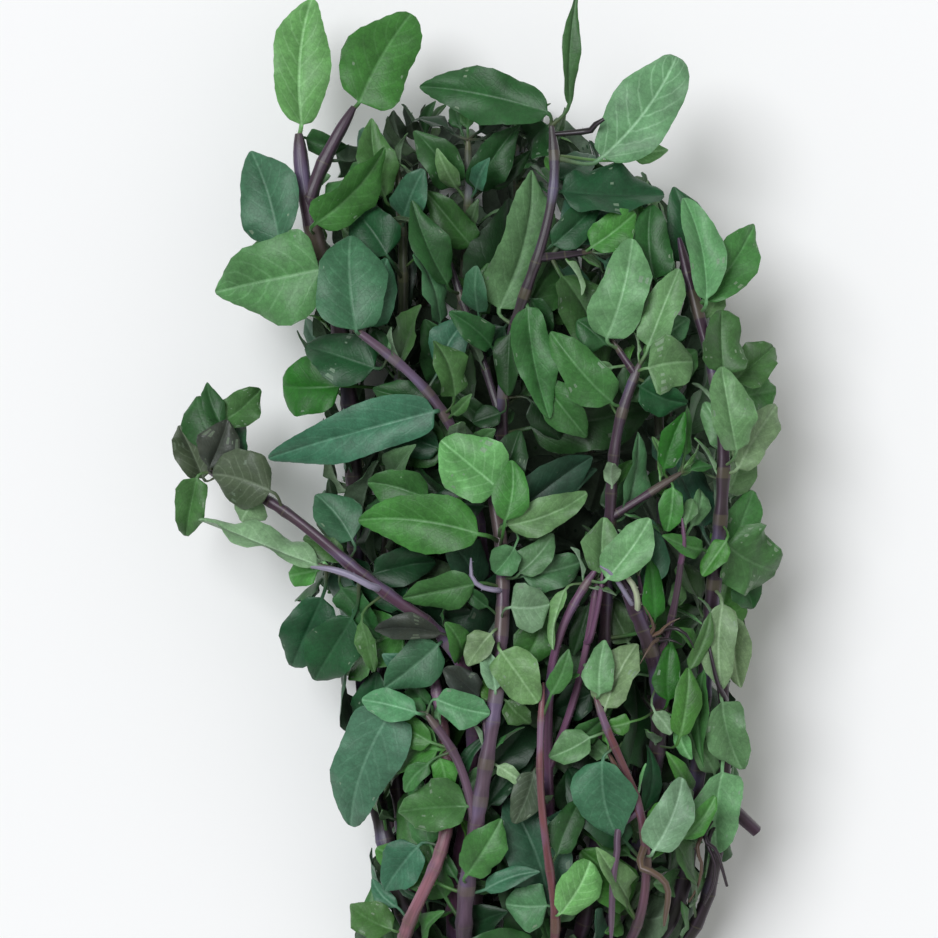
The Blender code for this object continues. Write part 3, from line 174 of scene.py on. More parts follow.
# Each stem: name, bundle column and row, half thickness at the cut end and at the tip in mm,
# its course (px, px, mm above the table) and its side shoots with their half thickness.
STEMS = (
    ("stem_top_left", 0, 2, 2.5, 2.3,
     ((404, 940, 34), (384, 820, 27), (364, 690, 20), (356, 560, 19), (354, 450, 22),
      (346, 360, 29), (334, 290, 36), (314, 240, 40), (301, 200, 41), (298, 160, 40),
      (300, 134, 38)),
     (((303, 204, 41), (318, 165, 42), (338, 128, 41), (355, 108, 39)), 2.1)),
    ("stem_upper_left", 2, 1, 2.0, 1.25,
     ((468, 940, 32), (484, 800, 38), (492, 680, 41), (486, 560, 43), (474, 470, 48),
      (462, 440, 52), (446, 404, 55), (424, 379, 57), (396, 357, 58), (368, 340, 57),
      (353, 327, 56)),),
    ("stem_crown", 3, 2, 2.2, 1.35,
     ((512, 940, 36), (508, 800, 42), (505, 680, 44), (500, 560, 45), (498, 450, 48),
      (503, 380, 51), (508, 335, 54), (515, 303, 57), (530, 279, 59), (545, 264, 60),
      (548, 222, 60), (556, 182, 60), (569, 158, 59), (560, 136, 58), (546, 126, 57)),
     (((545, 264, 60), (570, 257, 59), (590, 251, 57)), 1.2),
     (((503, 420, 49), (484, 360, 46), (464, 305, 45), (444, 250, 44), (430, 205, 42)), 1.2)),
    ("stem_middle_right", 4, 2, 2.2, 1.35,
     ((585, 940, 34), (598, 820, 42), (603, 700, 46), (606, 600, 52), (611, 515, 60),
      (611, 445, 62), (617, 402, 63), (630, 376, 63), (643, 366, 62)),
     (((612, 522, 59), (640, 500, 61), (664, 484, 61), (682, 472, 60)), 1.2),
     (((632, 374, 63), (634, 356, 62), (622, 343, 61), (606, 342, 60)), 1.0)),
    ("stem_right", 6, 1, 2.6, 1.4,
     ((672, 940, 28), (692, 820, 36), (703, 720, 42), (706, 640, 48), (713, 600, 52),
      (719, 540, 56), (723, 490, 58), (728, 450, 59), (722, 400, 60), (711, 355, 60),
      (699, 315, 59), (689, 285, 57), (683, 262, 55), (680, 238, 53)),),
    ("stem_left_shoot", 1, 1, 2.4, 1.3,
     ((452, 940, 30), (466, 830, 40), (476, 740, 46), (474, 670, 51), (458, 632, 55),
      (430, 621, 57), (400, 606, 58), (362, 578, 58), (322, 540, 55), (294, 513, 52),
      (268, 495, 50), (244, 484, 46), (222, 478, 43), (208, 470, 41)),
     (((372, 586, 58), (350, 570, 56), (330, 566, 54), (318, 567, 53)), 1.1)),
    ("stem_main", 2, 2, 2.5, 1.5,
     ((460, 945, 42), (467, 880, 54), (476, 820, 59), (484, 775, 61), (490, 745, 62),
      (497, 700, 63), (500, 660, 62), (503, 620, 59), (506, 580, 55), (503, 540, 53),
      (499, 500, 51), (494, 460, 47)),
     (((476, 826, 59), (473, 790, 60), (467, 760, 61), (448, 724, 61), (422, 716, 60)), 1.4),
     (((489, 752, 62), (484, 730, 62), (485, 714, 61)), 1.0)),
    ("stem_slender", 4, 1, 1.6, 0.95,
     ((560, 945, 46), (551, 878, 60), (541, 820, 64), (537, 780, 65), (539, 740, 65),
      (542, 704, 64), (545, 682, 62)),),
    ("stem_pink", 3, 1, 1.8, 1.1,
     ((545, 945, 34), (550, 840, 46), (548, 760, 54), (546, 690, 60), (549, 650, 63),
      (560, 612, 65), (580, 586, 65), (600, 566, 64)),
     (((553, 770, 50), (576, 700, 57), (590, 640, 60), (597, 578, 61)), 1.2)),
    ("stem_curved", 5, 1, 1.7, 1.0,
     ((636, 945, 36), (648, 880, 50), (648, 836, 58), (641, 786, 63), (630, 766, 64),
      (612, 750, 65), (598, 736, 65), (593, 718, 65), (594, 702, 64), (600, 694, 63)),
     (((647, 826, 59), (634, 800, 62), (620, 772, 62), (607, 752, 61)), 1.0)),
    ("stem_dark", 5, 2, 2.7, 2.1,
     ((612, 945, 26), (634, 860, 36), (654, 780, 44), (664, 700, 51), (658, 650, 57),
      (645, 622, 60), (630, 598, 61), (621, 578, 61)),
     (((657, 636, 59), (653, 604, 63), (636, 574, 63)), 1.0),
     (((665, 668, 56), (676, 610, 61), (684, 565, 62), (683, 532, 62)), 1.1)),
    ("stem_low_right", 6, 2, 2.2, 1.4,
     ((694, 945, 24), (716, 860, 34), (726, 790, 41), (726, 720, 47), (720, 660, 52),
      (718, 622, 55)),
     (((724, 800, 40), (740, 817, 38), (757, 831, 36)), 2.2)),
    ("stem_low_left", 0, 1, 2.2, 1.5,
     ((398, 940, 42), (412, 910, 50), (428, 885, 55), (448, 855, 58), (456, 830, 55),
      (452, 780, 52), (442, 720, 50), (432, 665, 48)),),
    ("stem_inner_left", 1, 2, 2.3, 1.3,
     ((432, 945, 22), (402, 840, 24), (384, 720, 25), (384, 600, 26), (392, 480, 28),
      (402, 360, 31), (404, 250, 35), (398, 170, 38)),),
    ("stem_inner_middle", 3, 0, 2.3, 1.3,
     ((520, 945, 9), (505, 840, 17), (468, 700, 22), (452, 560, 24), (452, 430, 28),
      (460, 320, 32), (470, 220, 37), (468, 140, 40)),),
    ("stem_inner_right", 5, 0, 2.3, 1.3,
     ((606, 945, 9), (628, 840, 17), (650, 700, 22), (662, 560, 25), (660, 430, 29),
      (652, 330, 34), (644, 250, 38)),),
    ("stem_under_far_left", 0, 0, 2.5, 1.4,
     ((408, 945, 0), (394, 840, 0), (376, 720, 0), (366, 600, 1), (362, 480, 2),
      (358, 380, 4), (356, 290, 9), (360, 220, 15)),),
    ("stem_under_left", 1, 0, 2.6, 1.5,
     ((446, 945, 0), (436, 820, 0), (424, 690, 0), (424, 560, 0), (414, 430, 0),
      (424, 320, 3), (420, 220, 9), (424, 150, 16)),),
    ("stem_under_middle", 2, 0, 2.6, 1.5,
     ((484, 945, 0), (486, 820, 0), (492, 690, 0), (500, 560, 0), (506, 430, 0),
      (512, 320, 3), (518, 220, 9), (520, 140, 16)),),
    ("stem_under_right", 4, 0, 2.6, 1.5,
     ((560, 945, 0), (570, 820, 0), (584, 690, 0), (580, 560, 0), (590, 430, 0),
      (582, 320, 3), (590, 240, 9), (586, 180, 15)),),
    ("stem_under_far_right", 6, 0, 2.5, 1.4,
     ((640, 945, 0), (656, 840, 0), (668, 720, 0), (672, 600, 1), (664, 480, 2),
      (668, 390, 5), (674, 310, 10), (672, 250, 16)),),
)

# The leaves that the photograph shows, in the order in which they are placed. After the stem, each
# has its base and tip (px, px, mm above the table), width in px, roll about the midrib, droop from
# base to tip, the look that shapes the blade, and the look that colours it where that is another.
LEAF_GROUPS = (
    ("stem_top_left",
     ((301, 129, 38), (312, -3, 31), 60, 4, 12, "bright"),
     ((357, 106, 39), (413, 12, 34), 74, 8, 10, "fresh"),
     ((281, 244, 46), (250, 150, 36), 68, -8, 14, "blue"),
     ((311, 227, 48), (389, 153, 52), 50, 44, 10, "fresh"),
     ((302, 137, 36), (346, 147, 38), 28, 20, 10, "deep"),
     ((384, 196, 42), (372, 118, 44), 42, 18, 12, "deep", "olive")),
    ("stem_upper_left", ((330, 268, 54), (214, 292, 42), 92, 6, 20, "broad")),
    ("stem_top_left", ((298, 250, 37), (233, 269, 32), 48, 0, 12, "olive")),
    ("stem_upper_left",
     ((356, 330, 58), (350, 234, 48), 74, -14, 22, "blue"),
     ((352, 322, 61), (388, 258, 60), 58, 20, 24, "blue"),
     ((392, 262, 46), (350, 206, 40), 54, 0, 14, "deepblue"),
     ((374, 368, 48), (305, 346, 38), 58, 6, 12, "deepblue")),
    ("stem_inner_left", ((340, 386, 37), (280, 386, 31), 62, 0, 14, "vivid")),
    ("stem_upper_left",
     ((437, 411, 57), (262, 458, 42), 54, 4, 10, "blue"),
     ((454, 396, 60), (436, 340, 62), 42, 32, 26, "olive"),
     ((424, 398, 50), (372, 388, 46), 32, 10, 10, "fresh", "deep")),
    ("stem_crown",
     ((547, 113, 58), (418, 84, 47), 58, 14, 12, "mid", "deep"),
     ((569, 104, 59), (579, -7, 62), 19, 30, 12, "olive"),
     ((602, 157, 58), (678, 54, 52), 68, 0, 10, "veined"),
     ((634, 158, 50), (669, 150, 48), 22, 10, 8, "mid", "bright"),
     ((562, 192, 57), (665, 193, 49), 60, -34, 10, "deepblue"),
     ((499, 308, 56), (534, 170, 56), 66, 6, 16, "mid", "light"),
     ((446, 284, 50), (413, 200, 52), 40, 30, 12, "mid", "deep")),
    ("stem_inner_middle", ((474, 250, 43), (426, 190, 46), 38, 0, 12, "deep", "fresh")),
    ("stem_crown",
     ((439, 322, 52), (420, 252, 54), 38, 20, 14, "mid", "grey"),
     ((396, 312, 46), (402, 234, 46), 44, -10, 12, "deepblue"),
     ((526, 300, 57), (550, 418, 61), 44, -10, 10, "mid"),
     ((544, 384, 60), (586, 438, 60), 42, 8, 14, "mid"),
     ((529, 296, 55), (553, 338, 53), 30, 0, 10, "deep"),
     ((588, 250, 60), (636, 212, 60), 40, 24, 20, "yellow", "fresh"),
     ((510, 330, 53), (508, 396, 52), 34, 14, 12, "deep"),
     ((520, 408, 54), (472, 422, 54), 26, 16, 18, "mid", "deep"),
     ((532, 402, 52), (560, 440, 50), 36, 0, 12, "deep")),
    ("stem_middle_right",
     ((611, 402, 64), (553, 330, 66), 48, 16, 20, "light", "mid"),
     ((606, 344, 62), (577, 320, 62), 38, 0, 18, "deep"),
     ((607, 338, 64), (630, 238, 66), 54, -12, 22, "light"),
     ((655, 278, 60), (650, 204, 60), 48, 0, 14, "mid", "deep"),
     ((649, 346, 64), (678, 268, 64), 40, -26, 14, "light"),
     ((664, 338, 58), (690, 318, 57), 26, 0, 10, "deep", "grey"),
     ((648, 368, 66), (694, 362, 64), 60, 8, 16, "light"),
     ((664, 382, 60), (698, 350, 58), 40, 6, 12, "mid"),
     ((640, 386, 61), (688, 404, 58), 38, 4, 14, "deepblue"),
     ((664, 468, 62), (685, 412, 63), 28, 10, 16, "mid", "vivid"),
     ((673, 486, 61), (666, 532, 61), 26, 12, 12, "fresh"),
     ((625, 514, 57), (640, 432, 57), 36, 12, 12, "deepblue", "grey"),
     ((603, 574, 64), (604, 517, 64), 46, 12, 14, "light"),
     ((607, 579, 66), (650, 518, 66), 44, -6, 12, "pale", "light")),
    ("stem_right",
     ((706, 299, 62), (684, 197, 59), 46, 4, 14, "grey"),
     ((688, 262, 53), (674, 186, 52), 44, 0, 12, "deepblue"),
     ((704, 300, 59), (758, 222, 52), 50, 8, 12, "mid"),
     ((706, 318, 55), (721, 286, 52), 24, 0, 8, "olive", "light"),
     ((724, 374, 60), (724, 309, 58), 50, 6, 12, "grey", "olive"),
     ((734, 380, 53), (776, 346, 44), 46, 8, 14, "olive"),
     ((738, 398, 50), (777, 390, 42), 40, 0, 10, "deep", "fresh"),
     ((736, 450, 64), (724, 366, 65), 50, 12, 26, "light"),
     ((732, 448, 62), (704, 402, 62), 34, -20, 24, "light"),
     ((738, 468, 60), (779, 404, 50), 38, 10, 10, "pale"),
     ((729, 560, 53), (754, 490, 46), 42, 10, 12, "mid"),
     ((727, 546, 57), (781, 572, 46), 72, 4, 14, "olive"),
     ((734, 578, 47), (755, 609, 42), 38, 0, 10, "deep"),
     ((726, 541, 61), (702, 576, 61), 24, 14, 14, "fresh")),
    ("stem_left_shoot",
     ((220, 424, 41), (262, 388, 36), 40, 4, 16, "olive"),
     ((220, 424, 42), (207, 381, 38), 24, 8, 10, "deep"),
     ((216, 446, 41), (196, 396, 36), 52, 6, 24, "dusk", "deep"),
     ((206, 474, 45), (228, 420, 46), 46, 18, 16, "wilt"),
     ((203, 478, 41), (178, 424, 35), 46, 6, 26, "olive", "dusk"),
     ((230, 476, 40), (242, 412, 36), 54, 0, 14, "deepblue"),
     ((270, 491, 54), (210, 474, 49), 66, -4, 20, "dusk"),
     ((262, 492, 48), (241, 522, 42), 40, 4, 12, "dusk", "pale"),
     ((197, 478, 42), (184, 538, 35), 36, 8, 24, "olive"),
     ((318, 567, 54), (199, 515, 42), 50, 54, 12, "pale"),
     ((320, 570, 52), (287, 576, 47), 30, 8, 12, "fresh"),
     ((342, 562, 53), (303, 536, 48), 26, 14, 12, "olive"),
     ((322, 598, 47), (290, 670, 36), 50, 0, 14, "deepblue"),
     ((352, 618, 50), (312, 683, 40), 58, 0, 14, "deepblue"),
     ((342, 588, 51), (378, 640, 50), 34, 10, 10, "deep"),
     ((362, 622, 53), (372, 674, 50), 24, 20, 10, "olive"),
     ((352, 540, 47), (315, 494, 42), 48, 4, 14, "blue"),
     ((374, 574, 51), (436, 562, 51), 40, 0, 10, "deepblue")),
    ("stem_main", ((474, 584, 60), (402, 599, 58), 42, -6, 14, "mid")),
    ("stem_left_shoot", ((456, 634, 57), (374, 630, 53), 36, 8, 10, "wilt")),
    ("stem_main",
     ((502, 491, 61), (440, 441, 60), 72, -8, 18, "yellow", "bright"),
     ((501, 496, 58), (518, 430, 60), 40, -14, 16, "mid", "deep"),
     ((505, 520, 58), (513, 460, 58), 38, 10, 12, "fresh"),
     ((508, 522, 56), (594, 458, 54), 62, 4, 12, "deepblue", "blue"),
     ((503, 526, 63), (588, 494, 63), 36, 12, 14, "light"),
     ((478, 534, 64), (355, 519, 57), 60, 4, 12, "fresh"),
     ((428, 500, 54), (366, 482, 50), 46, 0, 14, "mid"),
     ((484, 506, 54), (434, 494, 52), 34, 8, 12, "deepblue"),
     ((534, 523, 60), (494, 573, 60), 36, 10, 12, "grey"),
     ((520, 573, 63), (553, 533, 63), 32, 6, 12, "light"),
     ((523, 576, 61), (581, 560, 60), 42, 4, 12, "grey"),
     ((489, 609, 65), (550, 604, 64), 52, 4, 10, "pale"),
     ((545, 614, 60), (524, 665, 60), 48, 6, 12, "mid", "fresh"),
     ((491, 634, 63), (467, 666, 63), 32, 10, 12, "pale"),
     ((495, 690, 66), (486, 650, 66), 24, 10, 12, "pale"),
     ((501, 652, 64), (538, 703, 64), 46, 4, 12, "light"),
     ((503, 698, 61), (531, 724, 61), 28, 10, 12, "olive"),
     ((438, 645, 57), (384, 688, 53), 48, 4, 14, "blue"),
     ((394, 702, 59), (348, 833, 43), 68, 2, 14, "hanging"),
     ((416, 713, 63), (361, 699, 58), 34, 14, 16, "grey"),
     ((404, 690, 60), (490, 714, 65), 38, 12, 16, "grey"),
     ((478, 698, 58), (444, 668, 58), 36, 8, 14, "wilt"),
     ((440, 758, 57), (446, 798, 55), 26, 12, 12, "fresh"),
     ((428, 764, 58), (404, 792, 55), 22, 12, 12, "fresh", "mid"),
     ((470, 806, 60), (397, 812, 54), 58, 4, 14, "olive"),
     ((498, 766, 60), (523, 784, 60), 16, 10, 10, "pale"),
     ((464, 878, 58), (502, 819, 58), 46, 4, 14, "mid")),
    ("stem_pink", ((591, 694, 58), (552, 712, 56), 38, 4, 12, "deepblue")),
    ("stem_curved", ((590, 738, 61), (548, 757, 60), 36, 8, 12, "mid", "light")),
    ("stem_slender",
     ((534, 772, 60), (514, 824, 58), 34, 10, 12, "pale", "dusk"),
     ((560, 913, 55), (592, 862, 54), 50, 4, 14, "bright"),
     ((572, 906, 53), (505, 904, 50), 48, 0, 14, "blue", "grey")),
    ("stem_pink",
     ((566, 590, 62), (552, 650, 62), 22, 24, 10, "light"),
     ((589, 606, 58), (572, 656, 57), 24, 14, 10, "mid", "deep")),
    ("stem_curved",
     ((599, 694, 66), (606, 640, 66), 32, 10, 14, "light"),
     ((604, 712, 64), (634, 642, 63), 42, -8, 14, "light", "pale")),
    ("stem_dark", ((630, 722, 62), (606, 727, 62), 20, 8, 10, "fresh")),
    ("stem_curved",
     ((603, 761, 64), (616, 842, 58), 64, 2, 14, "blue"),
     ((654, 850, 62), (682, 778, 63), 44, -4, 12, "pale"),
     ((655, 712, 61), (671, 735, 61), 18, 8, 10, "pale")),
    ("stem_dark",
     ((655, 618, 62), (650, 560, 63), 24, 10, 12, "fresh", "vivid"),
     ((628, 642, 55), (604, 596, 55), 34, 8, 12, "olive", "light"),
     ((680, 736, 61), (690, 668, 62), 30, 6, 12, "fresh"),
     ((690, 668, 61), (711, 612, 62), 18, 20, 10, "light", "olive"),
     ((668, 700, 57), (673, 642, 58), 28, 12, 12, "mid", "vivid"),
     ((679, 726, 64), (690, 761, 63), 18, 8, 10, "bright")),
    ("stem_low_right",
     ((722, 604, 58), (722, 690, 56), 38, 6, 12, "grey", "pale"),
     ((736, 618, 48), (741, 690, 44), 34, 4, 14, "mid", "pale"),
     ((722, 702, 54), (743, 771, 48), 46, 6, 14, "mid", "light"),
     ((722, 772, 56), (718, 856, 47), 54, 2, 14, "mid", "light"),
     ((704, 672, 59), (700, 768, 57), 26, 30, 10, "mid"),
     ((683, 838, 58), (716, 796, 58), 22, 14, 10, "fresh")),
    ("stem_low_left",
     ((418, 846, 52), (384, 892, 45), 46, 2, 14, "blue"),
     ((392, 930, 44), (349, 904, 38), 42, 6, 12, "olive")),
)
LEAVES = [(stem, *leaf) for stem, *group in LEAF_GROUPS for leaf in group]

# How each look shapes its blade: where it is widest, how full its outline is, how far its halves
# fold up in degrees, how deep its edge waves as a share of its width, and how pointed its tip is.
SHAPES = {
    "bright": (0.92, 0.38, 8, 0.045, 0.20), "fresh": (0.76, 0.47, 10, 0.06, 0.30),
    "light": (0.74, 0.52, 16, 0.11, 0.26), "yellow": (0.80, 0.46, 12, 0.08, 0.10),
    "veined": (0.90, 0.44, 6, 0.045, 0.10), "vivid": (1.0, 0.42, 6, 0.04, 0.05),
    "mid": (0.74, 0.52, 15, 0.10, 0.34), "deep": (0.72, 0.52, 13, 0.10, 0.34),
    "blue": (0.70, 0.50, 9, 0.06, 0.40), "deepblue": (0.74, 0.50, 12, 0.08, 0.34),
    "grey": (0.80, 0.48, 20, 0.13, 0.20), "pale": (0.78, 0.48, 15, 0.11, 0.24),
    "olive": (0.74, 0.52, 15, 0.13, 0.28), "dusk": (0.92, 0.46, -14, 0.08, 0.20),
    "wilt": (0.86, 0.54, 28, 0.20, 0.25), "broad": (0.58, 0.48, 8, 0.055, 0.46),
    "hanging": (0.52, 0.42, 8, 0.05, 0.44),
}
FILL_LOOKS = ("deep", "deepblue", "mid", "mid", "deepblue", "deep", "fresh", "blue", "olive")


def spot(px, py, height):
    """The point in mm that shows at a place of the photograph, at a height above the table."""
    scale = MM_PER_PX * (EYE_HEIGHT - height) / (EYE_HEIGHT - SCALE_HEIGHT)
    return Vector(((px - PHOTO_MIDDLE) * scale, (PHOTO_MIDDLE - py) * scale, height))


def blend(low, high, share):
    return low + (high - low) * share


def point_tree(points):
    """A tree that finds the closest of some points."""
    tree = KDTree(len(points))
    for number, point in enumerate(points):
        tree.insert(point, number)
    tree.balance()
    return tree


def surface_tree(meshes):
    """A tree that finds where a line meets any of some meshes."""
    corners, faces = [], []
    for mesh_corners, mesh_faces in meshes:
        faces += [tuple(i + len(corners) for i in face) for face in mesh_faces]
        corners += mesh_corners
    return BVHTree.FromPolygons(corners, faces)


def outline_at(y):
    """Left edge, right edge and height of the bunch in mm, across its length at y."""
    py = PHOTO_MIDDLE - y / MM_PER_PX
    if py < STATIONS[0][0] or py > STATIONS[-1][0]:
        return None
    for low, high in zip(STATIONS, STATIONS[1:]):
        if py <= high[0]:
            share = (py - low[0]) / (high[0] - low[0])
            left = (blend(low[1], high[1], share) - PHOTO_MIDDLE) * MM_PER_PX
            right = (blend(low[2], high[2], share) - PHOTO_MIDDLE) * MM_PER_PX
            return left, right, blend(low[3], high[3], share)
    return None


def reach_at(point):
    """How far out a point is, from 0 on the bunch's axis to 1 on its surface, and which way."""
    found = outline_at(point.y)
    if found is None:
        return 9.0, Vector((0.0, 1.0, 0.0))
    left, right, height = found
    half = (right - left) / 2
    axis_z = MIDDLE_OF_HEIGHT * height
    across = (point.x - (left + right) / 2) / half
    rise = point.z - axis_z
    tall, power = height - axis_z, ROUNDER_ABOVE
    if rise <= 0:
        tall, power = axis_z * 1.2, SQUARER_BELOW
    up = rise / tall
    reach = (abs(across) ** power + abs(up) ** power) ** (1 / power)
    outward = Vector((across / half, 0.0, up / tall))
    if outward.length < 1e-9:
        outward = Vector((0.0, 0.0, 1.0))
    return reach, outward.normalized()


def spline_point(before, start, end, after, share):
    """A point between start and end on the smooth curve through four points."""
    square, cube = share * share, share ** 3
    return 0.5 * (2 * start + (end - before) * share
                  + (2 * before - 5 * start + 4 * end - after) * square
                  + (3 * start - before - 3 * end + after) * cube)


def even_course(route, step):
    """Points a step apart along the smooth curve through a route."""
    ends = [2 * route[0] - route[1]] + list(route) + [2 * route[-1] - route[-2]]
    dense = [route[0].copy()]
    for i in range(len(route) - 1):
        for k in range(1, 13):
            dense.append(spline_point(*ends[i:i + 4], k / 12))
    lengths = [0.0]
    for before, after in zip(dense, dense[1:]):
        lengths.append(lengths[-1] + (after - before).length)
    count = max(3, round(lengths[-1] / step))
    course, j = [], 0
    for i in range(count + 1):
        wanted = lengths[-1] * i / count
        while j < len(dense) - 2 and lengths[j + 1] < wanted:
            j += 1
        share = (wanted - lengths[j]) / max(lengths[j + 1] - lengths[j], 1e-9)
        course.append(dense[j].lerp(dense[j + 1], min(1.0, share)))
    return course


class Stem:
    """A square stem or side shoot: its course, its half thickness along it, how far it is turned
    about itself, and its parent."""

    def __init__(self, name, course, halves, roll, parent=None):
        self.name = name
        self.course = course
        self.halves = halves
        self.roll = math.radians(roll)
        self.parent = parent
        self.leafy_from = 1
        self.joined_at = 0
        self.rings = []

    def settle(self):
        """Chooses the points that get a ring, and lays the others straight between them."""
        self.fine_course = [point.copy() for point in self.course]
        self.fine_halves = list(self.halves)
        headings = [frame[0] for frame in self.frames()]
        last = len(self.course) - 1
        self.rings = [0]
        for i in range(1, last):
            turned = headings[i].angle(headings[self.rings[-1]], 0.0)
            gone = (self.course[i] - self.course[self.rings[-1]]).length
            if turned > KINK or gone > RING_REACH:
                self.rings.append(i)
        self.rings.append(last)
        for start, end in zip(self.rings, self.rings[1:]):
            for i in range(start + 1, end):
                share = (i - start) / (end - start)
                self.course[i] = self.course[start].lerp(self.course[end], share)
                self.halves[i] = blend(self.halves[start], self.halves[end], share)

    def frames(self):
        """Heading and the two directions square to the stem's sides, at each point."""
        found = []
        for i in range(len(self.course)):
            along = self.course[min(i + 1, len(self.course) - 1)] - self.course[max(i - 1, 0)]
            along.normalize()
            level = along.cross(Vector((0.0, 0.0, 1.0))).normalized()
            above = level.cross(along)
            side = level * math.cos(self.roll) + above * math.sin(self.roll)
            found.append((along, side, side.cross(along)))
        return found


def bundle_route(rng, column, row, half):
    """The cut end of a stem and the place where it leaves the bundle."""
    off_middle = column - (BUNDLE_COLUMNS - 1) / 2
    end_y = CUT_END_Y + rng.uniform(-CUT_END_SPREAD, CUT_END_SPREAD)
    drift = [rng.uniform(-LOOSENESS, LOOSENESS) for _ in range(2)]
    x = BUNDLE_X + off_middle * BUNDLE_PITCH
    z = BUNDLE_ROWS[row] + half
    rise = rng.uniform(0.0, LOOSENESS) if row else 0.0
    return (Vector((x + off_middle * SPLAY + drift[0], end_y, z + rise)),
            Vector((x + drift[1], BUNDLE_TOP_Y, z)))


def make_stems():
    """Every stem, followed by its side shoots, with the courses bent clear of one another."""
    rng = random.Random(SEED)
    stems = []
    for number, (name, column, row, thick, thin, route, *shoots) in enumerate(STEMS):
        end, top = bundle_route(rng, column, row, thick)
        route = [end, end.lerp(top, 0.5), top] + [spot(*place) for place in route]
        course = even_course(route, COURSE_STEP)
        for point in course:
            if point.y < BUNDLE_TOP_Y:
                straight = end.lerp(top, (point.y - end.y) / (top.y - end.y))
                point.x, point.z = straight.x, straight.z
        last = len(course) - 1
        halves = [blend(thick, thin, max(0.0, (i / last - TAPER_FROM) / (1 - TAPER_FROM)))
                  for i in range(last + 1)]
        roll = STEM_ROLLS[number % len(STEM_ROLLS)] if row else 0.0
        stem = Stem(name, course, halves, roll)
        stem.leafy_from = sum(1 for point in course if point.y < LEAFY_FROM_Y)
        stems.append(stem)
        for route, half in shoots:
            course = even_course([spot(*place) for place in route], COURSE_STEP)
            start = course[0]
            last = len(course) - 1
            halves = [half * blend(1.0, SHOOT_TAPER, i / last) for i in range(last + 1)]
            shoot = Stem(name, course, halves, roll, stem)
            shoot.joined_at = min(range(len(stem.course)),
                                  key=lambda i: (stem.course[i] - start).length)
            stems.append(shoot)
    for _ in range(PARTING_ROUNDS):
        part_stems(stems)
    for stem in stems:
        stem.settle()
    for stem in stems:
        if stem.parent:
            stem.course[0] = stem.parent.course[stem.joined_at].copy()
    return stems


def part_stems(stems):
    """Pushes stems that come too close a little apart, and keeps them smooth and off the table."""
    places = [(s, i) for s, stem in enumerate(stems) for i in range(len(stem.course))]
    tree = point_tree([stems[s].course[i] for s, i in places])
    pushes = {}
    for s, i in places:
        here, half = stems[s].course[i], stems[s].halves[i]
        for _, number, _ in tree.find_range(here, PARTING_REACH):
            other, j = places[number]
            if stems[other].name == stems[s].name:
                continue
            away = here - stems[other].course[j]
            wanted = (half + stems[other].halves[j]) * CORNER_REACH + STEM_CLEARANCE
            if 1e-6 < away.length < wanted:
                push = away.normalized() * (wanted - away.length) * PARTING_PUSH
                pushes[(s, i)] = pushes.get((s, i), Vector()) + push
    for (s, i), push in pushes.items():
        stems[s].course[i] += push
    for stem in stems:
        course = stem.course
        for i in range(1, len(course) - 1):
            middle = (course[i - 1] + course[i + 1]) / 2
            course[i] = course[i].lerp(middle, SMOOTHING)
        course[-1] = course[-1].lerp(2 * course[-2] - course[-3], TIP_SMOOTHING)
        for i, point in enumerate(course):
            point.z = max(point.z, stem.halves[i])
        if stem.parent:
            course[0] = stem.parent.course[stem.joined_at].copy()


def stem_mesh(stem):
    """Corners and faces of the square stem, closed at its cut end and at its tip."""
    frames = stem.frames()
    corners, faces = [], []
    for i in stem.rings:
        _, side, up = frames[i]
        middle, half = stem.course[i], stem.halves[i]
        for a, b in ((-1, -1), (1, -1), (1, 1), (-1, 1)):
            corners.append(middle + side * half * a + up * half * b)
    for r in range(len(stem.rings) - 1):
        for k in range(4):
            a, b = r * 4 + k, r * 4 + (k + 1) % 4
            faces += [(a, b + 4, b), (a, a + 4, b + 4)]
    last = (len(stem.rings) - 1) * 4
    faces += [(0, 2, 3), (0, 1, 2), (last, last + 2, last + 1), (last, last + 3, last + 2)]
    return corners, faces


